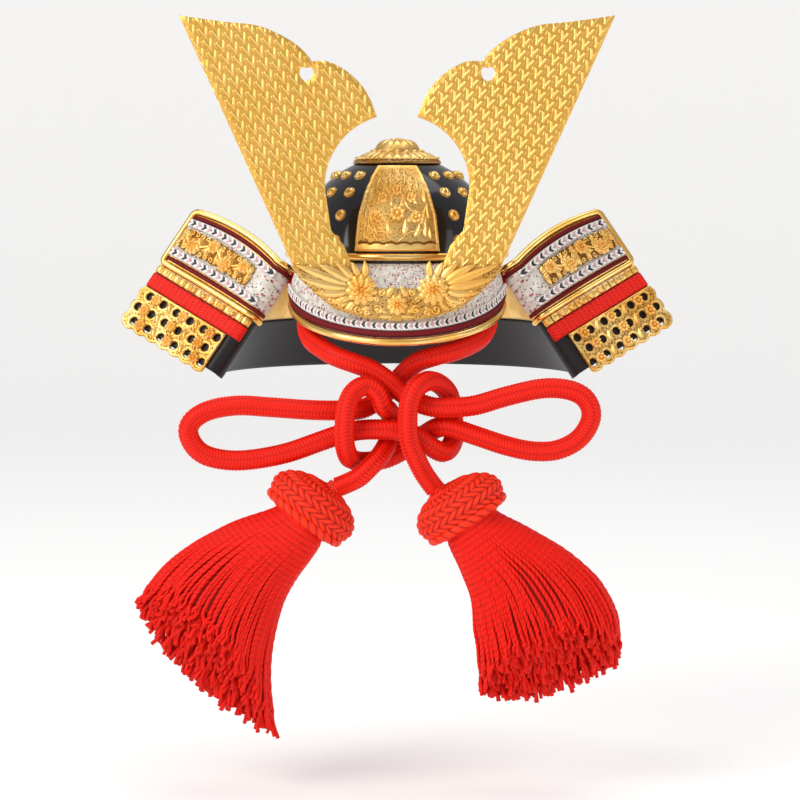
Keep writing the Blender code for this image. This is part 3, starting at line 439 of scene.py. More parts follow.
class Skirt:
    """Where a tassel's threads go: the outer form at each share of the way down."""

    def __init__(self, tassel):
        lean = radians(tassel["lean"])
        top = np.array(tassel["head"]) + np.array([sin(lean), 0, -cos(lean)]) * CAP_SIZE[2]
        rows = np.array(tassel["sections"], float)
        centres = top + np.stack([rows[:, 0], rows[:, 0] * 0, -rows[:, 1]], axis=1) * TASSEL_SKIRT["length"]
        self.centre = smooth_line(centres, 0.5)
        self.step = np.linspace(0, 1, len(self.centre))
        self.sizes = []
        for size in (rows[:, 2] * TASSEL_SKIRT["width"], rows[:, 3] * TASSEL_SKIRT["width"], rows[:, 4]):
            size = np.interp(self.step, np.linspace(0, 1, len(rows)), size)
            self.sizes.append(np.convolve(np.pad(size, 4, mode="edge"), np.ones(9) / 9, "valid"))

    def at(self, way, turn, out):
        """The point this share of the way down, at this turn and share of the way out."""
        way = np.clip(way, 0, 1)
        centre = np.stack([np.interp(way, self.step, self.centre[:, k]) for k in range(3)], axis=-1)
        half, depth, tilt = (np.interp(way, self.step, size) for size in self.sizes)
        tilt = np.radians(tilt)
        across = np.stack([np.cos(tilt), 0 * tilt, np.sin(tilt)], axis=-1)
        below = np.stack([np.sin(tilt), 0 * tilt, -np.cos(tilt)], axis=-1)
        point = centre + across * (np.cos(turn) * half * out)[..., None]
        point = point + np.array([0, 1.0, 0]) * (np.sin(turn) * depth * out)[..., None]
        drop = np.clip((way - SKIRT_SAG["from"]) / (1 - SKIRT_SAG["from"]), 0, 1) ** 1.5
        drop = drop * TASSEL_SKIRT["length"] * SKIRT_SAG["depth"] * (1 - (np.cos(turn) * out) ** 2 * 0.9)
        return point + below * drop[..., None]

# %% Laying the threads
CORE_OUT = 0.93
THREAD_RADIUS = 0.66
THREAD_TWIST = 4.2
SKIRT_SLANT = 0.22
LOOSE_END = 0.84
THREAD_LAYERS = [
    {"out": 0.985, "count": 124, "start": 0.02, "rings": 60, "sides": 6},
    {"out": 0.87, "count": 96, "start": 0.45, "rings": 22, "sides": 5},
]
for out, count in ((0.74, 84), (0.6, 68), (0.46, 54), (0.31, 36), (0.15, 20)):
    THREAD_LAYERS.append({"out": out, "count": count, "start": 0.7, "rings": 12, "sides": 5})
print("threads in a tassel:", sum(layer["count"] for layer in THREAD_LAYERS))


def twisted(run, turn):
    """Two plies that wind round each other."""
    lobe = np.abs(np.cos(turn - run * 2 * pi / THREAD_TWIST))
    return 0.74 + 0.3 * lobe, 0.25 + 0.75 * lobe


def cut_off(turn, out):
    """The skirt is cut off aslant: threads at the front end sooner, so the cut face shows their ends."""
    return 1 - SKIRT_SLANT * np.clip(-np.sin(turn) * out, 0, 1)


def lay_threads(shapes, skirt, layer, chance):
    for number in range(layer["count"]):
        turn = 2 * pi * (number + chance.uniform(-0.3, 0.3)) / layer["count"]
        way = np.linspace(layer["start"], 1 + chance.uniform(-0.03, 0.0), layer["rings"])
        loose = np.clip((way - 0.15) / 0.85, 0, 1)
        swing = chance.uniform(-0.05, 0.05) * np.sin(way * chance.uniform(3, 7) + chance.uniform(0, 6))
        out = layer["out"] * (1 + chance.uniform(-0.05, 0.02) * loose)
        out = out + 0.02 * np.sin(way * chance.uniform(4, 9) + chance.uniform(0, 6)) * loose
        points = skirt.at(way * cut_off(turn, layer["out"]), turn + swing * loose, out)
        curl = np.clip((way - LOOSE_END) / (1 - LOOSE_END), 0, 1)[:, None]
        points = points + curl**2 * chance.uniform(-1.5, 1.5, 3)
        wind = way[:, None] * chance.uniform(38, 58) + chance.uniform(0, 6) + np.array([0.0, 1.6, 3.6])
        points = points + curl**1.3 * 0.8 * np.sin(wind)
        radius = THREAD_RADIUS * chance.uniform(0.9, 1.15) * (1.0 if layer["sides"] == 6 else 1.25)
        tube(shapes, points, radius, layer["sides"], twisted, first=(0.3, 0.9, 0.2))


def make_core(shapes, skirt):
    """The core inside the threads, closed below, coloured dark red as painted shade for the inner threads."""
    rows, columns = 20, 40
    turns = 2 * pi * np.arange(columns) / columns
    way, around = np.meshgrid(np.linspace(0, 0.9, rows), turns, indexing="ij")
    points = skirt.at(way * cut_off(around, CORE_OUT), around, CORE_OUT).reshape(-1, 3)
    points = np.concatenate([points, [points[-columns:].mean(axis=0)]])
    faces = lattice(rows, columns, closed=True) + [fan((rows - 1) * columns, columns, rows * columns)]
    # The height mark of 0.05 gives the core the deepest red of the silk: painted shade.
    shapes.add(points, faces, np.full((len(points), 3), 0.05))

# %% [markdown]
# The cap is worked round and round, so its rows of leaning stitches are the cord's plait laid in rings. Its
# rolled edge is a thick twisted bead under the widest part.

# %% The caps and the skirts
CAP_ROWS = 11
CAP_STITCHES = 30
CAP_RELIEF = 1.1
CAP_EDGE = {"level": -0.52, "lift": 0.3, "radius": 1.7, "lay": 3.4, "plies": 2}


def cap_points(tassel, around, height, lift):
    """A point of the cap: its turn about the cap's axis, and its height from -1 to 1."""
    lean = radians(tassel["lean"])
    width = np.sqrt(np.clip(1 - height**2, 0, 1))
    size = CAP_SIZE + lift[..., None]
    spread = np.stack([np.cos(around) * width, np.sin(around) * width, height], axis=-1) * size
    turn = np.array([[cos(lean), 0, -sin(lean)], [0, 1, 0], [sin(lean), 0, cos(lean)]])
    return np.array(tassel["head"]) + spread @ turn.T


def rope(run, turn):
    """The rolled edge's plies, laid up into a rope."""
    lay, plies = CAP_EDGE["lay"], CAP_EDGE["plies"]
    lobe = np.abs(np.cos((turn - run * 2 * pi / (lay * plies)) * plies / 2))
    return 0.8 + 0.22 * np.sqrt(lobe), np.sqrt(lobe)


def make_cap(shapes, tassel):
    rows, columns = 88, 210
    level = np.linspace(-0.86, 0.995, rows)[:, None]
    around = (2 * pi * np.arange(columns) / columns)[None, :]
    slope = np.arcsin(level) / pi + 0.5
    high = stitches(around / (2 * pi) * CAP_STITCHES, slope * CAP_ROWS, 1.0, 1.1)
    height, turn = np.broadcast_arrays(level, around)
    points = cap_points(tassel, turn, height, CAP_RELIEF * high - 0.5)
    marks = np.stack([turn, height, high], axis=-1)
    shapes.add(points, lattice(rows, columns, closed=True), marks)
    around = np.linspace(0, 2 * pi, 161)
    edge = cap_points(tassel, around, np.full(161, CAP_EDGE["level"]), np.full(161, CAP_EDGE["lift"]))
    tube(shapes, edge, CAP_EDGE["radius"], 14, rope, first=(0.0, 0.3, 0.9))


for side_name, tassel in TASSELS.items():
    skirt = Skirt(tassel)
    chance = np.random.default_rng(tassel["seed"])
    threads = Shapes()
    make_core(threads, skirt)
    for layer in THREAD_LAYERS:
        lay_threads(threads, skirt, layer, chance)
    node = f"tassel_{side_name}"
    strands = threads.piece(f"tassel threads {side_name}", thread_silk, "red_thread", node)
    cord, line, length = cords[side_name]
    cap = Shapes()
    make_cap(cap, tassel)
    neck = smooth_line([line[-1] + (line[-1] - line[-2]) * 0.5, tassel["head"]], PLAIT_PITCH / 4)
    tube(cap, neck, CORD_RADIUS, 24, plaited)
    cap = cap.piece(f"tassel cap {side_name}", cap_silk, "red_thread", node)
    tuple(line[0] * MM)
    length * MM
    (line * MM).tolist()

# %% [markdown]
# ## Gilt
# The fittings are gilded brass. Where relief stands up the gold is bright and pale, and in the hollows the
# colour darkens to a deep orange brown: painted shade. One gold all over would look like plastic, so the
# height mark picks between the gold and the painted shade, and a soft noise lets the gold drift a little
# between yellow and orange.

# %% Gilt finishes
HOLLOW_SHADE_GOLD = (0.20, 0.075, 0.012)


def gilt(name, bright, deep, roughness, grain=0.06, punches=0.0):
    """Gilding; punches is how deep the ground is stippled with small round punch marks."""
    finish = Finish(name, Metallic=1.0)
    cloud = finish.noise(90.0, 2.0)
    fine = finish.noise(2400.0, 2.0)
    metal = finish.mix(finish.limit(cloud, 0.38, 0.62), deep, bright)
    high = finish.high
    if punches:
        far = finish.node("ShaderNodeTexVoronoi", {}, finish.place, Scale=1100.0)
        ground = finish.limit(finish.high, 0.45, 0.2)
        # The punch marks also lower the height mark, so each pit is darkened with painted shade.
        high = high - 0.4 * finish.limit(far, 0.42, 0.2) * ground
        fine = fine * grain / punches + finish.limit(far, 0.15, 0.5) * ground
        grain = punches
    # Painted shade: where the height mark is low, in hollows, grooves and punch pits, the gold turns to the
    # dark hollow colour.
    finish.wear("Base Color", finish.mix(finish.limit(high, 0.02, 0.5), HOLLOW_SHADE_GOLD, metal))
    finish.wear("Roughness", roughness + 0.12 * finish.limit(cloud, 0.65, 0.3) + 0.25 * (1 - high))
    finish.bump(fine, grain)
    return finish.material

# %% Chased gilt
SPROUT = {"width": 3.9, "height": 4.4}


def chased_gilt(name, bright, ground):
    """Staggered columns of small sprouts in fine bright lines: two arms open out from a short stem."""
    finish = Finish(name, Metallic=1.0)
    right = finish.sum("ABSOLUTE", finish.along)
    column = (right * 0.93 - finish.across * 0.36) / SPROUT["width"]
    number = finish.sum("FLOOR", column)
    row = (finish.across * 0.93 + right * 0.36) / SPROUT["height"]
    row = row + 0.5 * finish.sum("FLOORED_MODULO", number, 2.0)
    beside = finish.sum("ABSOLUTE", column - number - 0.5)
    level = row - finish.sum("FLOOR", row)
    opened = 0.34 * finish.limit(level, 0.12, 1.1)
    ends = finish.limit(level, 0.03, 0.14) * finish.limit(level, 0.98, 0.86)
    arms = finish.limit(finish.sum("ABSOLUTE", beside - opened), 0.15, 0.0) * ends
    cleft = (0.5 - beside) * (0.5 - beside) + (level - 0.3) * (level - 0.3) * 0.25
    between = finish.limit(finish.sum("SQRT", cleft), 0.12, 0.05)
    high = finish.sum("MAXIMUM", arms, between * 0.6)
    cloud = finish.noise(70.0, 2.0)
    shade = 0.16 + 0.84 * high - 0.14 * finish.limit(cloud, 0.35, 0.65)
    shade = finish.sum("MAXIMUM", shade, 0.55 - finish.high * 0.5)
    finish.wear("Base Color", finish.mix(shade, ground, bright))
    finish.wear("Roughness", 0.44 - 0.16 * high)
    finish.bump(high + 0.15 * finish.noise(2000.0, 2.0), 0.22, 0.8)
    return finish.material

# %% Golds
PALE_GOLD = (0.96, 0.64, 0.22)
WARM_GOLD = (0.86, 0.48, 0.11)
smooth_gilt = gilt("smooth gilt", PALE_GOLD, WARM_GOLD, roughness=0.2, grain=0.02)
cast_gilt = gilt("cast gilt", PALE_GOLD, WARM_GOLD, roughness=0.26, punches=0.12)
horn_gilt = chased_gilt("horn gilt", (0.96, 0.64, 0.21), (0.72, 0.39, 0.07))
lame_gilt = gilt("lame gilt", (0.95, 0.64, 0.22), (0.80, 0.46, 0.12), roughness=0.34)
print("golds:", smooth_gilt.name, cast_gilt.name, horn_gilt.name, lame_gilt.name)

# %% Lacquer
LACQUER = {"Base_Color": (0.010, 0.008, 0.009, 1), "Coat_Roughness": 0.05, "Specular_IOR_Level": 0.3}


def lacquer(name, roughness, coat):
    finish = Finish(name, Roughness=roughness, Coat_Weight=coat, **LACQUER)
    finish.bump(finish.noise(260.0, 2.0), 0.03, 0.4)
    return finish.material


black_lacquer = lacquer("black lacquer", 0.14, 0.3)
plain_lacquer = lacquer("lame lacquer", 0.42, 0.0)
print("lacquers:", black_lacquer.name, plain_lacquer.name)

# %% [markdown]
# ## Chased work
# Gilt plates are cut from sheet and carry flowers, leaves, stems and beads in relief. Sculpting them would be
# slow to repeat, so a plate is triangulated inside its outline and round its holes, and the ornaments are
# small curved shells that stand on it. Each shape is worked out flat, as right, up and out from the face, and
# then laid where it belongs by a mapping.

# %% Filling an outline
def dense(outline, spacing):
    """An outline with points added along its edges."""
    corners = np.asarray(outline, float)
    points = []
    for a, b in zip(corners, np.roll(corners, -1, axis=0)):
        count = max(1, round(np.linalg.norm(b - a) / spacing))
        points.append(a + (b - a) * (np.arange(count) / count)[:, None])
    return np.concatenate(points)


def edge_distance(points, loops):
    """How far inside the outline each point is; below 0 outside it or in a hole."""
    starts = np.concatenate(loops)
    ends = np.concatenate([np.roll(loop, -1, axis=0) for loop in loops])
    far = np.full(len(points), 1e9)
    crossings = np.zeros(len(points), int)
    for a, b in zip(starts, ends):
        run = b - a
        share = np.clip(((points - a) @ run) / max(run @ run, 1e-12), 0, 1)
        far = np.minimum(far, np.linalg.norm(points - a - share[:, None] * run, axis=1))
        if a[1] != b[1]:
            spans = (points[:, 1] > min(a[1], b[1])) & (points[:, 1] <= max(a[1], b[1]))
            cut = a[0] + (points[:, 1] - a[1]) * run[0] / run[1]
            crossings += spans & (points[:, 0] < cut)
    return np.where(crossings % 2 == 1, far, -far)


def fill(loops, inner):
    """Points and triangles inside closed loops."""
    points = [Vector(point) for loop in loops for point in loop] + [Vector(point) for point in inner]
    edges, start = [], 0
    for loop in loops:
        edges += [(start + i, start + (i + 1) % len(loop)) for i in range(len(loop))]
        start += len(loop)
    places, _, faces, *_ = delaunay_2d_cdt(points, edges, [], 1, 1e-6)
    places, faces = np.array([tuple(place) for place in places]), np.array(faces)
    return places, faces[edge_distance(places[faces].mean(axis=1), loops) > 0]

# %% Plates
def level_face(height):
    """The relief of a plain plate, the same all over."""
    return lambda right, up: np.full(len(right), height)


def plate(shapes, outlines, place, spacing, back, front, height=None, bevel=0.3):
    """A plate from out = back to front; height is (relief(right, up) from 0 to 1, its depth)."""
    loops = [dense(outline, spacing) for outline in outlines]
    low, high = loops[0].min(axis=0), loops[0].max(axis=0)
    rows = np.arange(low[1], high[1], spacing * 0.87)
    across, up = np.meshgrid(np.arange(low[0], high[0], spacing), rows)
    across = across + spacing / 2 * (np.arange(len(across)) % 2)[:, None]
    inner = np.stack([across.ravel(), up.ravel()], axis=1)
    inner = inner[edge_distance(inner, loops) > spacing * 0.55]
    flat, faces = fill(loops, inner)
    inside = np.clip(edge_distance(flat, loops), 0, bevel) / bevel
    relief, depth = height or (level_face(1.0), 0.0)
    share = relief(flat[:, 0], flat[:, 1])
    out = front - bevel * (1 - inside) ** 2 + depth * share * inside
    marks = np.stack([flat[:, 0], flat[:, 1], share], axis=1)
    points = [place(flat[:, 0], flat[:, 1], out)]
    marks, tables, count = [marks], [faces], len(flat)
    flat, faces = fill(loops, np.empty((0, 2)))
    points.append(place(flat[:, 0], flat[:, 1], np.full(len(flat), back)))
    tables.append(faces[:, ::-1] + count)
    count += len(flat)
    for loop in loops:
        points += [place(loop[:, 0], loop[:, 1], np.full(len(loop), out)) for out in (back, front - bevel)]
        tables += [table + count for table in lattice(2, len(loop), closed=True)]
        count += 2 * len(loop)
    marks.append(np.full((count - len(marks[0]), 3), 0.7))
    return shapes.add(np.concatenate(points), tables, np.concatenate(marks))

# %% Leaves
def lay(shapes, place, x, y, out, high, closed=True):
    """A table of flat places with its way out and its height marks, laid by the mapping."""
    x, y, out, high = np.broadcast_arrays(x, y, out, high)
    faces = lattice(*x.shape, closed=closed)
    shapes.add(place(x.ravel(), y.ravel(), out.ravel()), faces, np.stack([x, y, high], axis=2))


def leaf(shapes, place, foot, angle, length, width, lift, curl, face):
    """A veined leaf from its foot, bending by curl degrees on its way."""
    way = np.linspace(0, 1, 13)
    turn = np.radians(angle + curl * way)
    step = length / 12
    right = foot[0] + np.concatenate([[0], np.cumsum(np.cos(turn[:-1]) * step)])
    up = foot[1] + np.concatenate([[0], np.cumsum(np.sin(turn[:-1]) * step)])
    side = np.linspace(-1, 1, 9)[None, :]
    half = (width / 2 * np.sin(pi * way**0.75) ** 0.8)[:, None] + 0.05
    along = way[:, None]
    edge = np.cos(side * pi / 2) ** 0.5
    vein = 0.14 * np.cos((along * 5 - np.abs(side) * 1.2) * 2 * pi) * (np.abs(side) < 0.95)
    rib = 0.3 * np.exp(-((side / 0.16) ** 2))
    high = np.clip(edge * (0.6 + vein + rib) * np.sin(pi * along**0.8) ** 0.35, 0, 1.2)
    x = right[:, None] - np.sin(turn)[:, None] * half * side
    y = up[:, None] + np.cos(turn)[:, None] * half * side
    out = face - 0.15 + (lift + 0.15) * high
    lay(shapes, place, x, y, out, 0.15 + high * 0.85, closed=False)

# %% Flowers and beads
def flower(shapes, place, centre, radius, lift, petals=8, turn=0.0, face=0.0):
    """A rosette of petals round a beaded heart."""
    ring = np.array([0.0, 0.1, 0.2, 0.28, 0.34, 0.42, 0.55, 0.7, 0.85, 1.0])[:, None]
    around = (2 * pi * np.arange(petals * 6) / (petals * 6))[None, :]
    petal = np.abs(np.cos((around - turn) * petals / 2))
    spread = radius * ring * (1 - 0.2 * (1 - petal) * (ring > 0.34))
    heart = np.clip(1 - (ring / 0.3) ** 2, 0, 1) ** 0.5
    cup = np.sin(pi * np.clip((ring - 0.28) / 0.8, 0, 1)) ** 0.8 * (0.45 + 0.55 * petal**0.7)
    high = np.where(ring < 0.3, 0.85 * heart + 0.15, 0.9 * cup)
    x = centre[0] + spread * np.cos(around)
    y = centre[1] + spread * np.sin(around)
    out = face - 0.15 + (lift + 0.15) * high
    lay(shapes, place, x, y, out, 0.1 + 0.9 * high)


def bead(shapes, place, centre, radius, lift, face=0.0):
    """A small round dome."""
    level = np.linspace(0, pi / 2, 6)[:, None]
    around = (2 * pi * np.arange(14) / 14)[None, :]
    x = centre[0] + radius * np.sin(level) * np.cos(around)
    y = centre[1] + radius * np.sin(level) * np.sin(around)
    out = face - 0.1 + (lift + 0.1) * np.cos(level)
    lay(shapes, place, x, y, out, 0.35 + 0.65 * np.cos(level) ** 0.5)

# %% Stems and curls
def round_bar(run, turn):
    return np.ones(np.broadcast(run, turn).shape), 1.0


def stem(shapes, place, points, radius, face):
    """A round stem along flat points."""
    line = smooth_line([(x, y, 0.0) for x, y in points], 0.35)
    laid = place(line[:, 0], line[:, 1], np.full(len(line), face + radius * 0.4))
    tube(shapes, laid, radius, 8, round_bar)


def curl_points(centre, radius, start, turns):
    """A spiral that closes in on its centre."""
    way = np.linspace(0, 1, 16)
    reach = radius * (1 - 0.85 * way)
    angle = np.radians(start) + turns * 2 * pi * way
    return [(centre[0] + r * cos(a), centre[1] + r * sin(a)) for r, a in zip(reach, angle)]

# %% [markdown]
# ## Horns
# Two flat blades of sheet brass stand in the socket. Their fronts are chased all over with rows of small
# sprouts, like a knitted fabric, and their edges are bevelled and left bright. The chasing is so shallow that
# the finish can carry it, while the outline and the heart that is cut through each blade are real.

# %% Horns
HORN = {"front": 52.6, "lean": 5.0, "span": 76.0, "height": 86.8, "ring": 25.2, "ring_height": 27.2}
HORN_PLATE = {"spacing": 1.2, "thickness": 1.2, "bevel": 0.55}
HORN_TOP = (
    (1.0, 1.0), (0.79, 0.974), (0.65, 0.961), (0.546, 0.927), (0.459, 0.881), (0.407, 0.836),
    (0.391, 0.815), (0.32, 0.815), (0.234, 0.778), (0.163, 0.72), (0.12, 0.658),
)
HORN_FOOT = (
    (0.303, 0.138), (0.243, 0.076), (0.184, -0.06), (0.21, -0.13), (0.37, -0.12), (0.43, -0.055), (0.48, 0.0),
)
HEART = {"out": 0.416, "up": 0.772, "size": 2.4}


def matrix_map(matrix):
    """A mapping that lays right, up and out by a matrix."""
    turn = np.array(matrix.to_3x3())
    start = np.array(matrix.translation)
    return lambda right, up, out: start + np.stack([right, up, out], axis=1) @ turn.T


def horn_map():
    lean = Matrix.Rotation(pi / 2 - radians(HORN["lean"]), 4, "X")
    return matrix_map(Matrix.Translation((0.0, -HORN["front"], 0.0)) @ lean)


def horn_outline():
    """The right horn, with the curved stretches of its upper edge rounded."""
    scale = np.array([HORN["span"], HORN["height"]])
    top = np.array(HORN_TOP) * scale
    first = smooth_line([(*point, 0.0) for point in top[:7]], 0.8)[:, :2]
    second = smooth_line([(*point, 0.0) for point in top[6:]], 0.8)[1:, :2]
    turns = np.radians(np.linspace(75.6, 0, 42))
    ring = np.stack([np.cos(turns), np.sin(turns)], axis=1) * HORN["ring"] + [0, HORN["ring_height"]]
    return np.concatenate([first, second, ring[1:], np.array(HORN_FOOT) * scale])


def heart():
    turn = np.linspace(0, 2 * pi, 28, endpoint=False)
    cleft = 1.0 - 0.42 * np.clip(np.sin(turn), 0, 1) ** 8 + 0.3 * np.clip(-np.sin(turn), 0, 1) ** 3
    centre = np.array([HEART["out"] * HORN["span"], HEART["up"] * HORN["height"]])
    return centre + HEART["size"] * np.stack([cleft * np.cos(turn), cleft * np.sin(turn)], axis=1)


for side_name, side in SIDES:
    outlines = [horn_outline() * [side, 1], heart() * [side, 1]]
    back, bevel = -HORN_PLATE["thickness"], HORN_PLATE["bevel"]
    blade = plate(Shapes(), outlines, horn_map(), HORN_PLATE["spacing"], back, 0.0, bevel=bevel)
    blade.piece(f"horn {side_name}", horn_gilt, "gilt_engraved")

# %% [markdown]
# ## Horn socket
# The socket covers the foot of the horns and was cast with its ornament. Long veined leaves fan out from two
# peonies, small curls fill the foot of the plate, and a third, smaller peony sits in the middle. Each kind of
# ornament is one function, and the tables below only say where it goes.

# %% Socket
SOCKET = {"half_width": 37.5, "foot": -19.8, "back": 0.3, "front": 2.1}
SOCKET_OUTLINE = ((1.0, 0.0), (0.9, 0.26), (0.75, 0.53), (0.58, 0.79), (0.29, 0.95), (0.0, 1.0))
SOCKET_TOP = ((0.187, 0.42), (0.36, 0.2), (0.6, 0.15), (0.84, 0.16))
PEONY = (12.4, -8.9)
SOCKET_LEAVES = (
    (104, 4.0, 6.5, 2.6, -30), (76, 4.4, 6.0, 2.6, -26), (52, 4.6, 8.5, 2.9, -22), (34, 4.8, 13.0, 3.2, -12),
    (20, 4.8, 20.5, 3.3, 2), (6, 4.8, 17.5, 3.2, 14), (-10, 4.8, 12.5, 3.0, 24), (-30, 4.6, 8.0, 2.7, 30),
    (-58, 4.6, 5.0, 2.4, 40),
)
PEONY_RINGS = ((5.5, 1.2, 11, 0.2), (4.5, 1.8, 9, 0.6), (3.4, 2.3, 8, 0.1), (2.2, 2.7, 6, 0.4))
SOCKET_CURLS = (
    (6.6, -15.9, 1.6, 40), (13.5, -15.8, 1.5, 200), (19.6, -14.2, 1.3, 30), (5.4, -9.9, 1.2, 120),
    (10.2, -17.0, 1.1, 300), (16.6, -15.2, 1.0, 90), (23.0, -12.4, 1.1, 160), (26.0, -10.2, 0.9, 60),
    (2.4, -10.2, 1.0, 250), (7.2, -12.4, 1.0, 10),
)
FOOT_LEAVES = (
    (3.6, -11.5, 20, 5.0, 2.0, 0.9, 40), (3.2, -17.0, -60, 5.5, 1.8, 0.8, -40),
    (9.4, -14.6, -130, 4.0, 1.9, 0.9, 50), (1.2, -18.2, -88, 5.6, 1.5, 0.7, -10),
    (17.0, -13.4, -110, 4.6, 1.8, 0.9, 40),
)


def make_socket():
    scale = np.array([SOCKET["half_width"], SOCKET["foot"]])
    right = np.array(SOCKET_OUTLINE) * scale
    top = np.array(SOCKET_TOP) * scale
    outline = np.concatenate([right, right[-2::-1] * [-1, 1], top[::-1] * [-1, 1], top])
    place, front = horn_map(), SOCKET["front"]
    shapes = plate(Shapes(), [outline], place, 1.2, SOCKET["back"], front, (level_face(0.3), 0.0))
    for side in (-1, 1):
        centre = np.array([side * PEONY[0], PEONY[1]])
        for turn, start, length, width, curl in SOCKET_LEAVES:
            angle = turn if side > 0 else 180 - turn
            foot = centre + start * np.array([cos(radians(angle)), sin(radians(angle))])
            leaf(shapes, place, foot, angle, length, width, 1.0, side * curl, front)
        for radius, lift, petals, turn in PEONY_RINGS:
            flower(shapes, place, centre, radius, lift, petals, turn * side, front)
        for x, y, size, start in SOCKET_CURLS:
            curl = [(side * a, b) for a, b in curl_points((x, y), size, start, 1.3)]
            stem(shapes, place, curl, 0.42, front)
        for x, y, turn, length, width, lift, curl in FOOT_LEAVES:
            leaf(shapes, place, (side * x, y), 90 + side * turn, length, width, lift, side * curl, front)
    for radius, lift, petals, turn in PEONY_RINGS[1:]:
        flower(shapes, place, (0.0, -14.2), radius * 0.85, lift - 0.4, petals, turn, front)
    post = smooth_line([(0.0, -HORN["front"] + ahead, -13.1) for ahead in (-0.6, 4.6)], 1.0)
    tube(shapes, post, 2.4, 16, round_bar).piece("horn socket", cast_gilt, "gilt_relief")


make_socket()

# %% [markdown]
# ## Bowl
# The bowl is raised from one sheet and lacquered black. Rows of gilt rivets with a slotted head stand on it,
# each in a low collar. They leave the front free for a gilt plate. The bowl is turned from a profile, as on a
# lathe, and one rivet is worked out flat and then laid at every place.

# %% Bowl
BOWL = {"radius": 38.0, "wall": 1.5, "skirt": 4.0, "hole": 5.0}


def lathe(shapes, profile, steps=96, wave=None, high=None):
    """A shape turned about the upright axis; wave(radius, turn) lifts its points."""
    profile = np.asarray(profile, float)
    turn = (2 * pi * np.arange(steps) / steps)[None, :]
    radius = np.broadcast_to(profile[:, :1], (len(profile), steps))
    up = np.broadcast_to(profile[:, 1:2], radius.shape)
    if wave:
        up = up + wave(radius, turn)
    points = np.stack([radius * np.sin(turn), -radius * np.cos(turn), up], axis=2)
    tall = np.broadcast_to(1.0 if high is None else high(radius, turn), radius.shape)
    marks = np.stack([radius, np.broadcast_to(turn, radius.shape), tall], axis=2)
    return shapes.add(points, lattice(len(profile), steps, closed=True), marks)


def dome(radius, steps):
    turns = np.linspace(acos(BOWL["hole"] / radius), 0, steps)
    return [(radius * cos(turn), radius * sin(turn)) for turn in turns] + [(radius, -BOWL["skirt"])]


outer, inner = dome(BOWL["radius"], 40), dome(BOWL["radius"] - BOWL["wall"], 30)
lathe(Shapes(), outer + inner[::-1] + outer[:1]).piece("bowl", black_lacquer, "black_lacquer")

# %% Rivets
RIVET_ROWS = (11.5, 26.0, 40.5, 53.6)
RIVET = {"first": 36.0, "spacing": 18.0, "count": 17, "radius": 2.0, "height": 1.25}


def bowl_map(azimuth, elevation):
    """Right, up and out on the bowl's face at this place."""
    out = Vector((cos(elevation) * sin(azimuth), -cos(elevation) * cos(azimuth), sin(elevation)))
    right = Vector((cos(azimuth), sin(azimuth), 0.0))
    turn = Matrix((right, out.cross(right), out)).transposed().to_4x4()
    return matrix_map(Matrix.Translation(out * BOWL["radius"]) @ turn)


def rivet(shapes, place):
    """A domed head with an upright slot, in a low collar; the slot and the ditch round the head are darkened
    in colour as painted shade.
    """
    reach = np.array([1.12, 1.08, 1.0, 0.95, 0.9, 0.82, 0.7, 0.55, 0.4, 0.26, 0.12, 0.0])[:, None]
    rise = np.array([-0.2, 0.22, 0.3, 0.25, 0.18, 0.62, 0.86, 1.0, 1.08, 1.12, 1.14, 1.15])[:, None]
    around = (2 * pi * np.arange(24) / 24)[None, :]
    x = RIVET["radius"] * reach * np.cos(around)
    y = RIVET["radius"] * reach * np.sin(around)
    slot = np.exp(-((x / 0.34) ** 4)) * np.exp(-((y / 1.15) ** 6)) * (reach < 0.8)
    out = RIVET["height"] * rise - 0.6 * slot
    # The slot and the ditch get low height marks, so the gilt is darkened there: painted shade.
    ditch = np.abs(rise - 0.18) < 0.05
    lay(shapes, place, x, y, out, np.clip(np.where(reach < 0.88, 1.0, 0.8) * (1 - slot) - 0.8 * ditch, 0, 1))


shapes = Shapes()
for elevation in RIVET_ROWS:
    for i in range(RIVET["count"]):
        rivet(shapes, bowl_map(radians(RIVET["first"] + i * RIVET["spacing"]), radians(elevation)))
shapes.piece("bowl rivets", smooth_gilt, "black_lacquer", "bowl")

# %% [markdown]
# ## Band, crown and front plate
# A gilt moulding runs round the foot of the bowl. The crown has a petalled flange with a beaded rim under a
# low boss; both are turned profiles whose height waves with the turn. The front plate is bent to the bowl, so
# its mapping bends flat places onto a sphere. Scrolling leaves and flowers in relief fill it inside a plain
# rim, over a waved line at its foot.

# %% Band
def make_band():
    low, high, inner, outer = 0.6, 3.5, 38.3, 40.8
    middle, half = (low + high) / 2, (high - low) / 2
    turns = np.linspace(-pi / 2, pi / 2, 15)
    profile = [(inner + 1.0 + (outer - inner - 1.0) * cos(t), middle + half * sin(t)) for t in turns]
    profile = [(inner, low), *profile, (inner, high), (inner, low)]
    lathe(Shapes(), profile, 144).piece("base band", smooth_gilt, "gilt_smooth")


make_band()

# %% Crown
def petal_ring(middle, half, count, power):
    """A ring of petals round the axis: 1 on the back of each, 0 between them and beside the ring."""

    def height(radius, turn):
        band = np.clip(1 - ((radius - middle) / half) ** 2, 0, 1) ** 0.5
        return band * np.abs(np.cos(turn * count / 2)) ** power

    return height


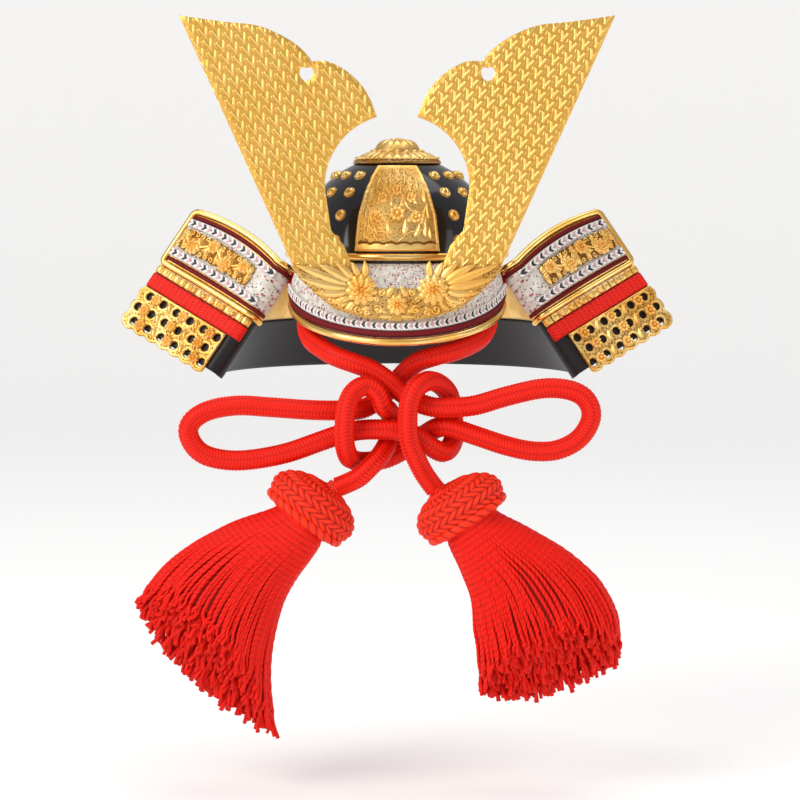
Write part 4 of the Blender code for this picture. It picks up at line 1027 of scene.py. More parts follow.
def make_crown():
    seat, flange, boss = 38.3, 16.0, 8.5
    foot = sqrt(seat**2 - boss**2) + 1.6
    rise = sqrt(seat**2 - flange**2)
    reach = np.linspace(boss, flange - 0.5, 22)
    slope = np.interp(reach, [boss, flange * 0.86, flange], [foot, rise + 2.24, rise + 1.0])
    profile = [*zip(reach, slope), (flange, rise + 0.7), (flange, rise)]
    profile += [(r, sqrt(seat**2 - r**2)) for r in np.linspace(15, 0.01, 8)]
    petals, lobed = petal_ring(11.3, 2.9, 24, 0.5), petal_ring(5.4, 2.4, 12, 0.6)

    def ridge(radius, turn):
        return 0.8 * petals(radius, turn) * (radius > boss + 0.1)

    shapes = lathe(Shapes(), profile, 192, ridge, lambda r, t: 0.25 + 0.75 * petals(r, t))
    profile = [(boss * sin(t) + 0.001, foot + 4.6 * cos(t)) for t in np.linspace(0, pi / 2, 20)]
    lathe(shapes, profile, 96, lambda r, t: 0.7 * lobed(r, t), lambda r, t: 0.35 + 0.65 * lobed(r, t))
    rings = ((48, 14.7, rise + 1.75, 0.85, 0.8), (16, 8.9, foot - 0.1, 1.25, 1.1))
    for count, out, up, radius, lift in rings:
        for number in range(count):
            turn = 2 * pi * number / count
            middle = Matrix.Translation((out * sin(turn), -out * cos(turn), up))
            bead(shapes, matrix_map(middle), (0, 0), radius, lift)
    flower(shapes, matrix_map(Matrix.Translation((0, 0, foot + 4.4))), (0, 0), 2.7, 0.9, 8)
    shapes.piece("crown finial", cast_gilt, "gilt_relief")


make_crown()

# %% Front plate
PLATE = {"half_width": 14.8, "foot": 4.1, "top": 33.6, "middle": 39.52, "thickness": 1.6}
PLATE_OUTLINE = ((0.0, 1.0), (0.18, 0.97), (0.42, 0.92), (0.7, 0.76), (0.88, 0.6), (1.0, 0.46))
PLATE_LEAVES = (
    (2.2, 9.6, 62, 6.5, 2.6, 50), (6.2, 9.0, 40, 6.0, 2.4, 70), (10.2, 8.8, 78, 6.5, 2.4, 30),
    (3.4, 14.2, 28, 6.0, 2.4, 60), (8.6, 13.2, 60, 6.6, 2.5, 40), (11.6, 14.8, 95, 6.2, 2.3, 10),
    (1.6, 19.2, 70, 5.2, 2.3, 50), (7.4, 19.8, 110, 6.0, 2.4, 40), (10.4, 20.4, 96, 5.8, 2.2, 20),
    (2.0, 26.0, 60, 4.6, 2.1, 60), (5.2, 24.4, 100, 5.0, 2.2, 40), (7.8, 25.6, 110, 4.4, 2.0, 10),
    (1.4, 30.0, 80, 3.0, 1.6, 40), (4.4, 29.2, 110, 3.2, 1.6, 20), (12.4, 8.0, 95, 4.6, 1.8, 10),
)
PLATE_FLOWERS = (
    (0.0, 17.0, 3.0, 1.4, 8), (0.0, 25.0, 2.1, 1.1, 7), (6.4, 15.6, 2.2, 1.1, 6), (5.0, 22.4, 2.0, 1.0, 6),
)
PLATE_STALK = ((0.6, 7.6), (4.2, 10.5), (8.8, 11.5), (9.6, 16.5), (4.4, 18.4), (2.6, 22.8), (5.4, 27.2))


def front_map(right, up, out):
    """Right and up on the plate's middle face, out from it."""
    depth = np.sqrt(PLATE["middle"] ** 2 - right**2 - up**2)
    face = np.stack([right, -depth, up], axis=1)
    return face * (1 + out / PLATE["middle"])[:, None]


def plate_half_width(up):
    share = (up - PLATE["foot"]) / (PLATE["top"] - PLATE["foot"])
    table = np.array(PLATE_OUTLINE)
    return PLATE["half_width"] * np.interp(share, table[:, 0], table[:, 1])


def plate_rim(right, up):
    """The plain rim, the smooth band at the foot, and the scalloped step over it."""
    edge = plate_half_width(up) - np.abs(right)
    rim = np.clip((1.15 - edge) / 0.3, 0, 1)
    crown = np.clip((up - PLATE["top"] + 1.0) / 0.3, 0, 1)
    waves = PLATE["foot"] + 2.5 + 0.55 * np.abs(np.sin(right * pi / 4.6))
    ditch = np.exp(-(((up - waves) / 0.35) ** 2))
    return np.clip(0.32 + 0.68 * np.maximum(rim, crown) - 0.4 * ditch + 0.3 * (up < waves - 0.5), 0, 1)


def make_front_plate():
    levels = np.linspace(PLATE["foot"], PLATE["top"], 24)
    edge = np.stack([plate_half_width(levels), levels], axis=1)
    outline = np.concatenate([edge, edge[::-1] * [-1, 1]])
    half = PLATE["thickness"] / 2
    shapes = plate(Shapes(), [outline], front_map, 0.45, -half, half, (plate_rim, 0.7))
    for side in (-1, 1):
        for x, y, angle, length, width, curl in PLATE_LEAVES:
            angle = angle if side > 0 else 180 - angle
            leaf(shapes, front_map, (side * x * 0.94, y), angle, length, width, 1.0, side * curl, half)
        stem(shapes, front_map, [(side * x, y) for x, y in PLATE_STALK], 0.4, half)
    for x, y, radius, lift, petals in PLATE_FLOWERS:
        for side in (-1, 1) if x else (1,):
            flower(shapes, front_map, (side * x, y), radius, lift + 0.3, petals, 0.3, half)
    shapes.piece("front plate", cast_gilt, "gilt_relief")


make_front_plate()

# %% [markdown]
# ## Brim
# The brim is a bent plate under white leather that is printed with tiny pink, green and black flowers. Along
# its edge run a flat braid plaited in white, pink and black, a dark red corded welt and a gilt rim. A picture
# of the print would have to be drawn, so it is made of cells: each has a blossom in its middle and a chance
# that picks its colour. The braid's colours follow its stitches.

# %% Printed leather
def cells(finish, scale, where):
    node = finish.node("ShaderNodeTexVoronoi", {}, where, Scale=scale, Randomness=0.75, output=None)
    return Wire(finish, node.outputs["Distance"]), Wire(finish, node.outputs["Color"])


def printed_leather(name):
    finish = Finish(name, Roughness=0.55)
    flat = finish.node("ShaderNodeCombineXYZ", {}, finish.along, finish.across, 0.0)
    far, tint = cells(finish, 0.6, flat)
    chance = finish.node("ShaderNodeSeparateXYZ", {}, tint, output=0)
    petals = finish.noise(1.9, 1.0, flat)
    size = far + (petals - 0.5) * 0.35
    blossom = finish.mix(chance, (0.45, 0.09, 0.12), (0.58, 0.25, 0.26))
    stain = finish.limit(finish.noise(0.35, 3.0, flat), 0.35, 0.7)
    ground = finish.mix(stain, (0.64, 0.60, 0.53), (0.83, 0.80, 0.74))
    shown = finish.mix(finish.limit(size, 0.4, 0.3), ground, blossom)
    shown = finish.mix(finish.limit(size, 0.14, 0.08), shown, (0.08, 0.02, 0.03))
    far, tint = cells(finish, 1.15, flat)
    chance = finish.node("ShaderNodeSeparateXYZ", {}, tint, output=1)
    leaves = finish.mix(finish.limit(chance, 0.45, 0.55), (0.10, 0.22, 0.10), (0.02, 0.02, 0.025))
    speck = finish.limit(far + (petals - 0.5) * 0.3, 0.36, 0.27) * finish.limit(chance, 0.22, 0.3)
    finish.wear("Base Color", finish.mix(speck, shown, leaves))
    finish.bump(finish.noise(900.0, 3.0), 0.12, 0.5)
    return finish.material


leather = printed_leather("printed leather")

# %% Plaited braid
BRAID_PITCH = 1.15
BRAID_SLANT = 1.0


def plaited_braid(name):
    """White stitches that lean to the middle from both edges; every other one has a pink or a dark fleck."""
    finish = Finish(name, Roughness=0.6, Specular_IOR_Level=0.3)
    lean = (0.5 - finish.sum("ABSOLUTE", finish.across)) * BRAID_SLANT
    number = finish.sum("FLOOR", finish.along / BRAID_PITCH + lean)
    turn = finish.sum("FLOORED_MODULO", number, 4.0)
    fleck = finish.limit(finish.sum("ABSOLUTE", finish.across), 0.85, 0.6)
    pink = finish.sum("COMPARE", turn, 1.0, 0.3) * fleck
    dark = finish.sum("COMPARE", turn, 3.0, 0.3) * fleck
    colour = finish.mix(pink, (0.88, 0.86, 0.83), (0.70, 0.44, 0.45))
    colour = finish.mix(dark, colour, (0.05, 0.045, 0.05))
    # Painted shade: the colour darkens to near black where the stitches dip between each other.
    shade = finish.limit(finish.high, 0.05, 0.7)
    finish.wear("Base Color", finish.mix(shade, (0.10, 0.06, 0.07), colour))
    finish.bump(finish.noise(2600.0, 2.0), 0.08)
    return finish.material


braid_silk = plaited_braid("plaited braid")

# %% Dark red welt
def dark_welt(name):
    finish = Finish(name, Roughness=0.6, Specular_IOR_Level=0.2)
    # Painted shade: the welt's dark red goes almost black in the hollows of its twisted relief.
    share = finish.limit(finish.high * 0.9 + finish.noise(1800.0, 2.0) * 0.25, 0.2, 1.1)
    finish.wear("Base Color", finish.mix(share, (0.025, 0.001, 0.002), (0.19, 0.005, 0.010)))
    return finish.material


welt_silk = dark_welt("dark red welt")
print("trimmings:", leather.name, braid_silk.name, welt_silk.name)

# %% The brim's surface
BRIM = {
    "azimuth": radians(60), "root_radius": 39.14, "root_height": -0.6, "half_width": 37.0, "side_front": 17.0,
    "reach": 38.0, "side_drop": 13.3, "front_drop": 12.4, "bow": 1.6, "thickness": 1.4,
}
GAP = 0.3
RIM_RADIUS = 1.3


def brim_edge(turn):
    side = BRIM["half_width"] * np.sin(turn)
    ahead = -BRIM["side_front"] - BRIM["reach"] * np.cos(turn)
    return np.stack([side, ahead, -BRIM["side_drop"] - BRIM["front_drop"] * np.cos(turn)], axis=-1)


def brim_root(turn):
    azimuth = turn / (pi / 2) * BRIM["azimuth"]
    root = BRIM["root_radius"] * np.stack([np.sin(azimuth), -np.cos(azimuth), 0 * azimuth], axis=-1)
    return root + [0, 0, BRIM["root_height"]]


def brim_surface(turn, inward, lift):
    """The brim's middle face: the turn round it, how far in from its edge, and a lift from it."""
    root = brim_root(turn)
    down = brim_edge(turn) - root
    share = 1 - inward / np.linalg.norm(down, axis=-1)
    normal = np.cross(brim_edge(turn + 0.01) - brim_edge(turn - 0.01), down)
    normal = normal / np.linalg.norm(normal, axis=-1)[:, None]
    normal = np.where(normal[:, 2:] < 0, -normal, normal)
    bow = np.where(share < 1, BRIM["bow"] * 4 * share * (1 - share), 0.0)
    return root + down * share[:, None] + normal * (bow + lift)[:, None]


print("brim in front, mm:", round(float(np.linalg.norm(brim_edge(0.0) - brim_root(np.zeros(1))[0])), 1))

# %% The brim
BRIM_MEAN_RADIUS = 46.0


def two_faced(shapes, faces, marks, rows, columns):
    """A sheet with a front and a back face, closed round its border."""
    border = np.concatenate([np.arange(columns), np.arange(1, rows) * columns + columns - 1])
    foot = (rows - 1) * columns + np.arange(columns - 2, -1, -1)
    border = np.concatenate([border, foot, np.arange(rows - 2, 0, -1) * columns])
    after = np.roll(border, -1)
    count = rows * columns
    grid = lattice(rows, columns)[0]
    tables = [grid, grid[:, ::-1] + count, np.stack([border, border + count, after + count, after], axis=1)]
    return shapes.add(np.concatenate(faces), tables, np.concatenate([marks, marks]))


def make_brim():
    half = BRIM["thickness"] / 2
    rows, columns = 121, 15
    turns = np.linspace(-pi / 2, pi / 2, rows)
    length = np.linalg.norm(brim_edge(turns) - brim_root(turns), axis=1)
    turn = np.repeat(turns, columns)
    inward = (length[:, None] * (1 - np.linspace(0, 1, columns)[None, :])).ravel()
    faces = [brim_surface(turn, inward, np.full(len(turn), lift)) for lift in (half, -half)]
    marks = np.stack([turn * BRIM_MEAN_RADIUS, inward, np.ones(len(turn))], axis=1)
    two_faced(Shapes(), faces, marks, rows, columns).piece("brim", leather, "printed_leather")


make_brim()

# %% Strips
ROUNDING = 0.35


def strip(shapes, surface, along, across, back, front, relief=None, depth=0.0, columns=9):
    """A strip on a surface. along lists its stations, across its two edges; back and front are its faces."""
    along = np.asarray(along, float)[:, None]
    share = np.linspace(-1, 1, columns)[None, :]
    wide = across[0] + (across[1] - across[0]) * (share + 1) / 2
    high = np.ones((len(along), columns)) if relief is None else relief(along, share)
    beyond = (np.abs(share) - 1 + 2 * ROUNDING / columns) * columns / 2 / ROUNDING
    shoulder = 1 - np.clip(beyond, 0, 1) ** 2 * 0.5
    lift = front + depth * (high * shoulder - 1) - (1 - shoulder) * (front - back) * 0.3
    run = np.broadcast_to(along, lift.shape)
    wide = np.broadcast_to(wide, lift.shape)
    under = np.full((len(along), 1), back)
    run = np.concatenate([run, run[:, :1], run[:, :1]], axis=1)
    wide = np.concatenate([wide, wide[:, -1:], wide[:, :1]], axis=1)
    lift = np.concatenate([lift, under, under], axis=1)
    ends = np.ones((len(along), 1))
    sides = np.concatenate([np.broadcast_to(share, high.shape), ends, -ends], axis=1)
    tall = np.concatenate([high, ends * 0.6, ends * 0.6], axis=1)
    flat = wide if relief is None else sides
    marks = np.stack([run, flat, tall], axis=2)
    points = surface(run.ravel(), wide.ravel(), lift.ravel())
    count = columns + 2
    faces = lattice(len(along), count, closed=True)
    first = np.arange(count)[None, ::-1]
    faces += [first, first[:, ::-1] + (len(along) - 1) * count]
    return shapes.add(points, faces, marks)

# %% The brim's welt, braid and rim
def braid_relief(along, share):
    return stitches(along, np.clip(share + 1, 0, 1.999), BRAID_PITCH, BRAID_SLANT)


def welt_relief(along, share):
    lobe = np.abs(np.cos(pi * (along / 1.5 + share * 0.35)))
    return (0.55 + 0.45 * lobe**0.6) * np.sqrt(np.clip(1 - 0.75 * share**2, 0, 1))


def brim_strip_surface(run, inward, lift):
    """The brim measured in millimetres along its edge instead of in radians."""
    return brim_surface(run / BRIM_MEAN_RADIUS, inward, lift)


def trim_brim():
    """The welt, the braid and the rim along the brim's edge."""
    end = pi / 2 * BRIM_MEAN_RADIUS
    along = np.linspace(-end, end, 441)
    low = BRIM["thickness"] / 2 + GAP
    high = low + 1.05
    welt = strip(Shapes(), brim_strip_surface, along, (-0.2, 1.95), low, high, welt_relief, 0.5, 7)
    welt.piece("brim welt", welt_silk, "dark_red_welt")
    braid = strip(Shapes(), brim_strip_surface, along, (2.1, 5.0), low, high, braid_relief, 0.55, 11)
    braid.piece("brim braid", braid_silk, "white_braid")
    turns = np.linspace(-pi / 2, pi / 2, 161)
    line = brim_surface(turns, np.full(161, -(GAP * 1.6 + RIM_RADIUS)), np.full(161, 0.5))
    tube(Shapes(), line, RIM_RADIUS, 18, round_bar).piece("brim rim", smooth_gilt, "gilt_smooth")


trim_brim()

# %% [markdown]
# ## Neck guard
# The guard is a cone of two lames round the sides and back, each made to look like a row of narrow scales.
# Red silk lacing runs round it in bands. Its front ends fold outwards; those turnbacks show their inner face
# to the front, with leather, braid, welts and gilt work on the upper one and a pierced gilt plate on the
# lower one. One sum describes the whole guard with its folds, and everything on it is laid by that sum.

# %% The guard's surface
GUARD = {"radius": 38.95, "top": -3.0, "flare": radians(34.5), "fold_at": radians(75), "half": 0.5}
SEAT = GUARD["half"] + GAP
FOLD = {"radius": 4.0, "angle": radians(130), "bow": 3.0, "run": 41.0, "foot": 24.9}
FOLD_LENGTH = FOLD["radius"] * FOLD["angle"]
HALF_ROUND = (pi - GUARD["fold_at"]) * GUARD["radius"]
print("guard, from the back to a fold:", round(HALF_ROUND, 1), "mm; fold:", round(FOLD_LENGTH, 1), "mm")


def guard_surface(side, along, depth, lift):
    """A place on the guard: along is 0 at the fold, negative round the back, positive on the turnback."""
    azimuth = GUARD["fold_at"] - np.minimum(along, 0) / GUARD["radius"]
    flat = cos(GUARD["flare"])
    slope = sin(GUARD["flare"])
    level = np.ones_like(azimuth)
    outward = np.stack([flat * np.sin(azimuth), -flat * np.cos(azimuth), slope * level], axis=-1)
    down = np.stack([slope * np.sin(azimuth), -slope * np.cos(azimuth), -flat * level], axis=-1)
    forward = np.stack([-np.cos(azimuth), -np.sin(azimuth), 0 * level], axis=-1)
    out = GUARD["radius"]
    point = np.stack([out * np.sin(azimuth), -out * np.cos(azimuth), GUARD["top"] * level], axis=-1)
    share = np.clip((along - FOLD_LENGTH) / FOLD["run"], 0, 1)
    rise = FOLD["bow"] * 4 * share * (1 - share) * np.maximum(0, 1 - depth / FOLD["foot"])
    point = point + down * (depth - rise)[:, None]
    turn = np.clip(along / FOLD["radius"], 0, FOLD["angle"])
    bend, sweep = (1 - np.cos(turn))[:, None], np.sin(turn)[:, None]
    point = point + FOLD["radius"] * (outward * bend + forward * sweep)
    run = forward * np.cos(turn)[:, None] + outward * sweep
    point = point + run * np.maximum(0, along - FOLD_LENGTH)[:, None]
    outward = outward * np.cos(turn)[:, None] - forward * sweep
    point = point + outward * lift[:, None]
    return point * np.stack([side * level, level, level], axis=-1)


def round_surface(run, depth, lift):
    """The whole guard from the middle of its back: run is negative on the left."""
    side = np.where(run < 0, -1.0, 1.0)
    return guard_surface(side, np.abs(run) - HALF_ROUND, depth, lift)


def turnback_surface(side):
    """The seen face of one turnback, where a lift stands out to the front."""
    return lambda along, depth, lift: guard_surface(side, along, depth, -lift)


def turnback_map(side):
    """Right, up and out on the flat of a turnback, counted from the end of its fold."""
    surface = turnback_surface(side)
    return lambda right, up, out: surface(right + FOLD_LENGTH, -up, out)

# %% Lames
UPPER = {"length": 41.0, "depth": 24.3}
LOWER = {"length": 39.5, "depth": 47.5, "end": 50.5, "hole": 1.5}
SCALE_WIDTH = 2.7


def scales(run, share):
    """A row of narrow scales, each over its neighbour, with two holes and a rounded head."""
    inside = (run / SCALE_WIDTH) % 1.0
    body = 0.35 + 0.65 * np.sqrt(np.clip(1 - (1.7 * (inside - 0.42)) ** 2, 0, 1))
    holes = np.zeros(np.broadcast(run, share).shape)
    for place in (-0.72, -0.3, 0.42):
        far = ((inside - 0.45) * SCALE_WIDTH) ** 2 + ((share - place) * 9) ** 2
        holes = np.maximum(holes, np.exp(-far / 0.22))
    # On the gilt lame these low marks also darken the gold in the holes and where a scale goes under its
    # neighbour: painted shade.
    return np.clip(body - 0.6 * holes, 0, 1)


def make_lame(name, material, slot, tier, start, inset):
    """One tier, from the end of its left turnback round the back to the end of its right one."""
    rows, columns, half = 521, 26, GUARD["half"]
    end = tier["depth"]
    reach = HALF_ROUND + FOLD_LENGTH + tier["length"] - inset
    run = np.linspace(-reach, reach, rows)[:, None]
    share = np.linspace(-1, 1, columns)[None, :]
    along = np.abs(run) - HALF_ROUND
    room = np.where(along >= 0, inset, GAP + (inset - GAP) * np.clip((along + 3) / 3, 0, 1))
    depth = start + room + (end - start - 2 * room) * (share + 1) / 2
    high = scales(run, share)
    around = np.broadcast_to(run, depth.shape)
    lifts = (half * high - 0.05, np.full(depth.shape, -half))
    faces = [round_surface(around.ravel(), depth.ravel(), lift.ravel()) for lift in lifts]
    marks = np.stack([around, depth, high], axis=2).reshape(-1, 3)
    two_faced(Shapes(), faces, marks, rows, columns).piece(name, material, slot)


make_lame("neck lame top", lame_gilt, "lame_gilt", UPPER, 0.0, 2.3)
make_lame("neck lame foot", plain_lacquer, "lame_lacquer", LOWER, UPPER["depth"], 0.05)

# %% Lacing round the back
LACING_BANDS = (5.0, 15.0, 28.0, 38.5)
LACING_WIDTH = 5.6
LACING_FRONT = 2.1
LACING_END = 5.95


def lacing_relief(run, share):
    """Cords laid side by side across the band, each plaited."""
    return stitches(share * LACING_WIDTH / 2 + 50, run / 2.0, 1.25, 0.9) * 0.85 + 0.15 * (1 - share**4)


def lace_back():
    run = np.linspace(LACING_END - HALF_ROUND, HALF_ROUND - LACING_END, 341)
    for number, start in enumerate(LACING_BANDS, 1):
        edges = (start, start + LACING_WIDTH)
        band = strip(Shapes(), round_surface, run, edges, SEAT, LACING_FRONT, lacing_relief, 0.6, 17)
        band.piece(f"neck lacing {number}", lacing_silk, "red_lacing")


lace_back()

# %% [markdown]
# ### Upper turnback
# A gilt rim runs round the leather field. Inside it lie two dark red welts and two braids, and between the
# braids a gilt spray of leaves and flowers is fixed to the leather. Every strip is the same function with its
# own edges and relief.

# %% The upper turnback's rim
def rim_line(side):
    """Out along the top, round the outer corners and back along the foot."""
    corner, end = 1.6, FOLD_LENGTH + UPPER["length"] - RIM_RADIUS
    top, foot = RIM_RADIUS, UPPER["depth"] - RIM_RADIUS
    flat = np.linspace(FOLD_LENGTH + 2, end - corner - 0.5, 12)
    runs = np.concatenate([np.linspace(0, FOLD_LENGTH, 20), flat])
    bend = np.radians(np.linspace(-90, 0, 9))
    path = [(along, top) for along in runs]
    path += [(end - corner + corner * cos(t), top + corner + corner * sin(t)) for t in bend]
    path += [(end, depth) for depth in np.linspace(top + corner + 2, foot - corner - 2, 6)]
    path += [(end - corner + corner * cos(t), foot - corner + corner * sin(t)) for t in bend + pi / 2]
    path += [(along, foot) for along in runs[::-1]]
    path = np.array(path)
    return guard_surface(float(side), path[:, 0], path[:, 1], np.full(len(path), -0.4))

# %% The gilt spray
SCROLL_FLOWERS = ((8.8, 2.6, 7), (16.2, 3.1, 8), (23.8, 2.6, 7), (31.4, 3.1, 8))


def make_scroll(shapes, side):
    """A waving stem in a scalloped field, with leaves, curls and flowers on its turns."""

    def wave(x):
        return 1.5 * np.sin((x - near) * 2 * pi / 15)

    place = turnback_map(side)
    middle = -UPPER["depth"] / 2
    near, far, lift = 5.0, 37.2, 2.1
    run = np.linspace(near, far, 90)
    lobed = 3.3 + 0.6 * np.abs(np.sin((run - near) * pi / (far - near) * 7))
    edges = [np.stack([run, middle + up * lobed], 1) for up in (1, -1)]
    outline = np.concatenate([edges[0], edges[1][::-1]])
    plate(shapes, [outline], place, 0.9, lift, lift + 0.5, (level_face(0.12), 0.0), bevel=0.2)
    run = np.linspace(near + 1, far - 1, 30)
    stem(shapes, place, np.stack([run, middle + wave(run)], 1), 0.45, lift + 0.5)
    for number in range(13):
        x = near + 1.4 + number * (far - near - 2.8) / 12
        bend = wave(x)
        for up in (-1, 1):
            angle = up * (52 if number % 2 else 118)
            length = max(2.6, 4.0 - up * bend)
            leaf(shapes, place, (x, middle + bend), angle, length, 2.5, 1.3, -up * 45, lift + 0.4)
            curl = curl_points((x + 1.2, middle + up * 2.7), 0.95, 40 * number, up * 1.2)
            stem(shapes, place, curl, 0.3, lift + 0.5)
    for x, radius, petals in SCROLL_FLOWERS:
        for size, rise, count, turn in ((radius, 1.7, petals, 0.4), (radius * 0.6, 2.2, petals - 2, 0.1)):
            flower(shapes, place, (x, middle + wave(x)), size, rise, count, turn, lift + 0.5)
    for x in (near + 0.6, far - 0.6):
        bead(shapes, place, (x, middle), 1.3, 1.3, lift + 0.4)
    return shapes

# %% Upper turnback
BORDER = 2.9
WELT_WIDTH = 1.5
WELT_STARTS = {"top": BORDER, "foot": 19.9}
FIELD = (4.7, 19.6)
BRAID_WIDTH = 2.9
BRAID_STARTS = {"top": FIELD[0], "foot": 16.7}


def stations(first, length, spacing):
    """Places from a share of the fold out to the end of a strip."""
    start, end = FOLD_LENGTH * first, FOLD_LENGTH + length
    return np.linspace(start, end, ceil((end - start) / spacing) + 1)


def make_upper(side_name, side):
    surface = turnback_surface(float(side))
    length = UPPER["length"] - BORDER
    along = stations(0.3, length, 0.33)
    for edge, start in WELT_STARTS.items():
        welt = strip(Shapes(), surface, along, (start, start + WELT_WIDTH), SEAT, 1.85, welt_relief, 0.5, 7)
        welt.piece(f"turnback welt {edge} {side_name}", welt_silk, "dark_red_welt")
    field = strip(Shapes(), surface, stations(0.3, length, 0.6), FIELD, SEAT, 1.8, columns=13)
    field.piece(f"turnback leather {side_name}", leather, "printed_leather")
    along = stations(0.8, length, 0.33)
    for edge, start in BRAID_STARTS.items():
        edges = (start, start + BRAID_WIDTH)
        braid = strip(Shapes(), surface, along, edges, 2.1, 3.15, braid_relief, 0.55, 11)
        braid.piece(f"turnback braid {edge} {side_name}", braid_silk, "white_braid")
    make_scroll(Shapes(), side).piece(f"turnback scroll {side_name}", cast_gilt, "gilt_relief")
    rim = tube(Shapes(), rim_line(side), RIM_RADIUS, 18, round_bar)
    rim.piece(f"turnback rim {side_name}", smooth_gilt, "gilt_smooth")

# %% [markdown]
# ### Lower turnback
# A row of gilt scale heads with five round studs, a band of red lacing, and a gilt plate that is pierced with
# round holes and chased with leaves and flowers between them. Its free edges are scalloped. The holes are cut
# through the mesh, since what lies behind has to show in them.

# %% Scale heads
HEADS = (24.35, 27.4)
STUDS = {"count": 5, "first": 3.0, "spacing": 4.6, "up": -26.0, "radius": 1.2}


def heads_relief(along, share):
    inside = (along / SCALE_WIDTH) % 1.0
    body = np.sqrt(np.clip(1 - (2.05 * (inside - 0.5)) ** 2, 0, 1))
    return np.clip(body * np.sqrt(np.clip(1.1 - (share * 0.9) ** 2, 0, 1)), 0, 1)

# %% The pierced plate
PIERCED = {"near": 0.5, "top": -33.6, "rise": 1.05, "rows": 3, "columns": 6}


def lobes(start, end, count, rise):
    """Points along a scalloped edge; the lobes stand to the right of its run."""
    start, end, steps = np.array(start, float), np.array(end, float), 9
    share = np.arange(count * steps) / (count * steps)
    run = end - start
    beside = np.array([run[1], -run[0]]) / np.linalg.norm(run)
    swell = np.sin(pi * (np.arange(count * steps) % steps) / steps)
    return start + run * share[:, None] + beside * (rise * swell)[:, None]


def make_pierced(shapes, side):
    place = turnback_map(side)
    near, top, rise, rows, columns = PIERCED.values()
    far, foot = LOWER["length"] - GAP, -LOWER["end"]
    outline = [[(near, top)], lobes((near, foot + rise), (far, foot + rise), 7, rise)]
    outline += [lobes((far, foot + rise), (far, top), 3, rise), [(far, top)]]
    outline = np.concatenate([np.array(part, float) for part in outline])
    turn = np.linspace(0, 2 * pi, 20, endpoint=False)
    ring = LOWER["hole"] * np.stack([np.cos(turn), np.sin(turn)], axis=1)
    centres = []
    for row in range(rows):
        for column in range(columns):
            x = near + (far - near) * (column + 0.5 + 0.3 * (row % 2) - 0.15) / columns
            centres.append((x, top + (foot + rise - top) * (row + 0.5) / rows))
    loops = [outline] + [ring + centre for centre in centres]

    def relief(x, y):
        edge = edge_distance(np.stack([x, y], axis=1), loops)
        lip = np.exp(-(((edge - 0.45) / 0.3) ** 2))
        tool = 0.5 + 0.5 * np.sin(x * 4.1 + np.sin(y * 2.3)) * np.sin(y * 4.4 + np.sin(x * 1.9))
        return np.clip(0.08 + 0.8 * lip + 0.4 * tool * (edge > 0.9), 0, 1)

    front = SEAT + 1.2
    plate(shapes, loops, place, 0.5, SEAT, front, (relief, 0.45), bevel=0.25)
    for number, (x, y) in enumerate(centres):
        if number % columns == columns - 1:
            continue
        after = centres[number + 1]
        between = ((x + after[0]) / 2, (y + after[1]) / 2)
        if number % 2 == 0:
            flower(shapes, place, between, 2.3, 1.5, 7, 0.5 * number, front)
        else:
            for way, angle in ((-1, 60), (1, 240)):
                foot = (between[0] + way * 1.0, between[1] + way * 1.9)
                leaf(shapes, place, foot, angle, 4.4, 2.2, 1.2, 30, front)
    return shapes

# %% Lower turnback
LACING = (27.7, 33.3)


def make_lower(side_name, side):
    surface = turnback_surface(float(side))
    length = LOWER["length"] - GAP
    along = stations(0.6, length, 0.33)
    heads = strip(Shapes(), surface, along, HEADS, SEAT, 2.1, heads_relief, 0.75, 9)
    for number in range(STUDS["count"]):
        centre = (STUDS["first"] + number * STUDS["spacing"], STUDS["up"])
        bead(heads, turnback_map(side), centre, STUDS["radius"], STUDS["radius"], 1.9)
    heads.piece(f"scale heads {side_name}", cast_gilt, "gilt_relief")
    along = stations(0.6, length, 0.3)
    band = strip(Shapes(), surface, along, LACING, SEAT, LACING_FRONT, lacing_relief, 0.6, 17)
    band.piece(f"turnback lacing {side_name}", lacing_silk, "red_lacing")
    make_pierced(Shapes(), side).piece(f"pierced plate {side_name}", cast_gilt, "gilt_relief")


for side_name, side in SIDES:
    make_upper(side_name, side)
    make_lower(side_name, side)

# %% [markdown]
# ## Floor and light
# Gilt and lacquer show what stands round them, so the helmet needs pale surroundings. A plain pale floor
# rises all round, far off, like a light tent. A broad soft light stands to the left in front, a weaker one to
# the right, and a third above picks out the edges of the horns.

# %% Floor
FLOOR = {"height": -186.0, "flat": 1500, "rise": 700, "steps": 72}
FLOOR_FINISH = {"Roughness": 0.9, "Emission_Strength": 0.3, "Emission_Color": (1.0, 0.99, 0.98, 1.0)}


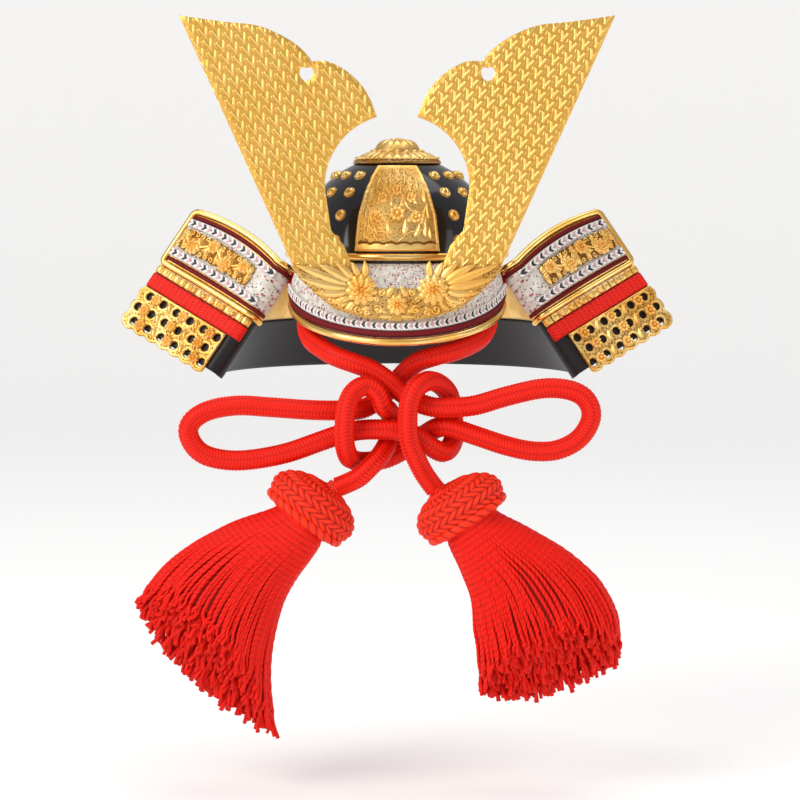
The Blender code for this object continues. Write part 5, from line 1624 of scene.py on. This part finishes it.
def make_floor():
    """A round pale dish: flat under the helmet, rising all round at a distance."""
    flat, rise, steps = FLOOR["flat"], FLOOR["rise"], FLOOR["steps"]
    bend = np.linspace(0, pi / 2, 14)
    profile = [(0.01, 0.0), *zip(flat + rise * np.sin(bend), rise - rise * np.cos(bend))]
    turns = 2 * pi * np.arange(steps) / steps
    base = FLOOR["height"]
    points = [(out * cos(turn), out * sin(turn), base + up) for out, up in profile for turn in turns]
    mesh = bpy.data.meshes.new("floor")
    faces = lattice(len(profile), steps, closed=True)[0].tolist()
    mesh.from_pydata([Vector(point) * MM for point in points], [], faces)
    mesh.shade_smooth()
    finish = Finish("pale floor", Base_Color=(0.80, 0.79, 0.77, 1.0), **FLOOR_FINISH)
    mesh.materials.append(finish.material)
    floor = bpy.data.objects.new("floor", mesh)
    bpy.context.scene.collection.objects.link(floor)
    print("floor", FLOOR["height"], "mm high")


make_floor()

# %% Light
LIGHTS = {
    "left soft light": {"place": (-0.9, -0.9, 0.75), "size": 0.9, "power": 12, "colour": (1, 0.98, 0.95)},
    "right soft light": {"place": (1.1, -0.8, 0.35), "size": 0.7, "power": 2, "colour": (1, 0.97, 0.93)},
    "top light": {"place": (0.1, 0.15, 1.2), "size": 1.0, "power": 5, "colour": (1, 1, 1)},
}
for name, light in LIGHTS.items():
    lamp = bpy.data.lights.new(name, "AREA")
    lamp.size, lamp.energy, lamp.color = light["size"], light["power"], light["colour"]
    item = bpy.data.objects.new(name, lamp)
    item.location = light["place"]
    towards = Vector((0, -0.02, -0.04)) - item.location
    item.rotation_euler = towards.to_track_quat("-Z", "Y").to_euler()
    bpy.context.scene.collection.objects.link(item)
print("lights:", list(LIGHTS))

# %% Pale room
world = bpy.data.worlds.new("pale room")
world.use_nodes = True
world.node_tree.nodes["Background"].inputs["Color"].default_value = (0.93, 0.95, 1.0, 1.0)
world.node_tree.nodes["Background"].inputs["Strength"].default_value = 0.5
bpy.context.scene.world = world
bpy.context.scene.view_settings.view_transform = "Standard"
print("world:", world.name)
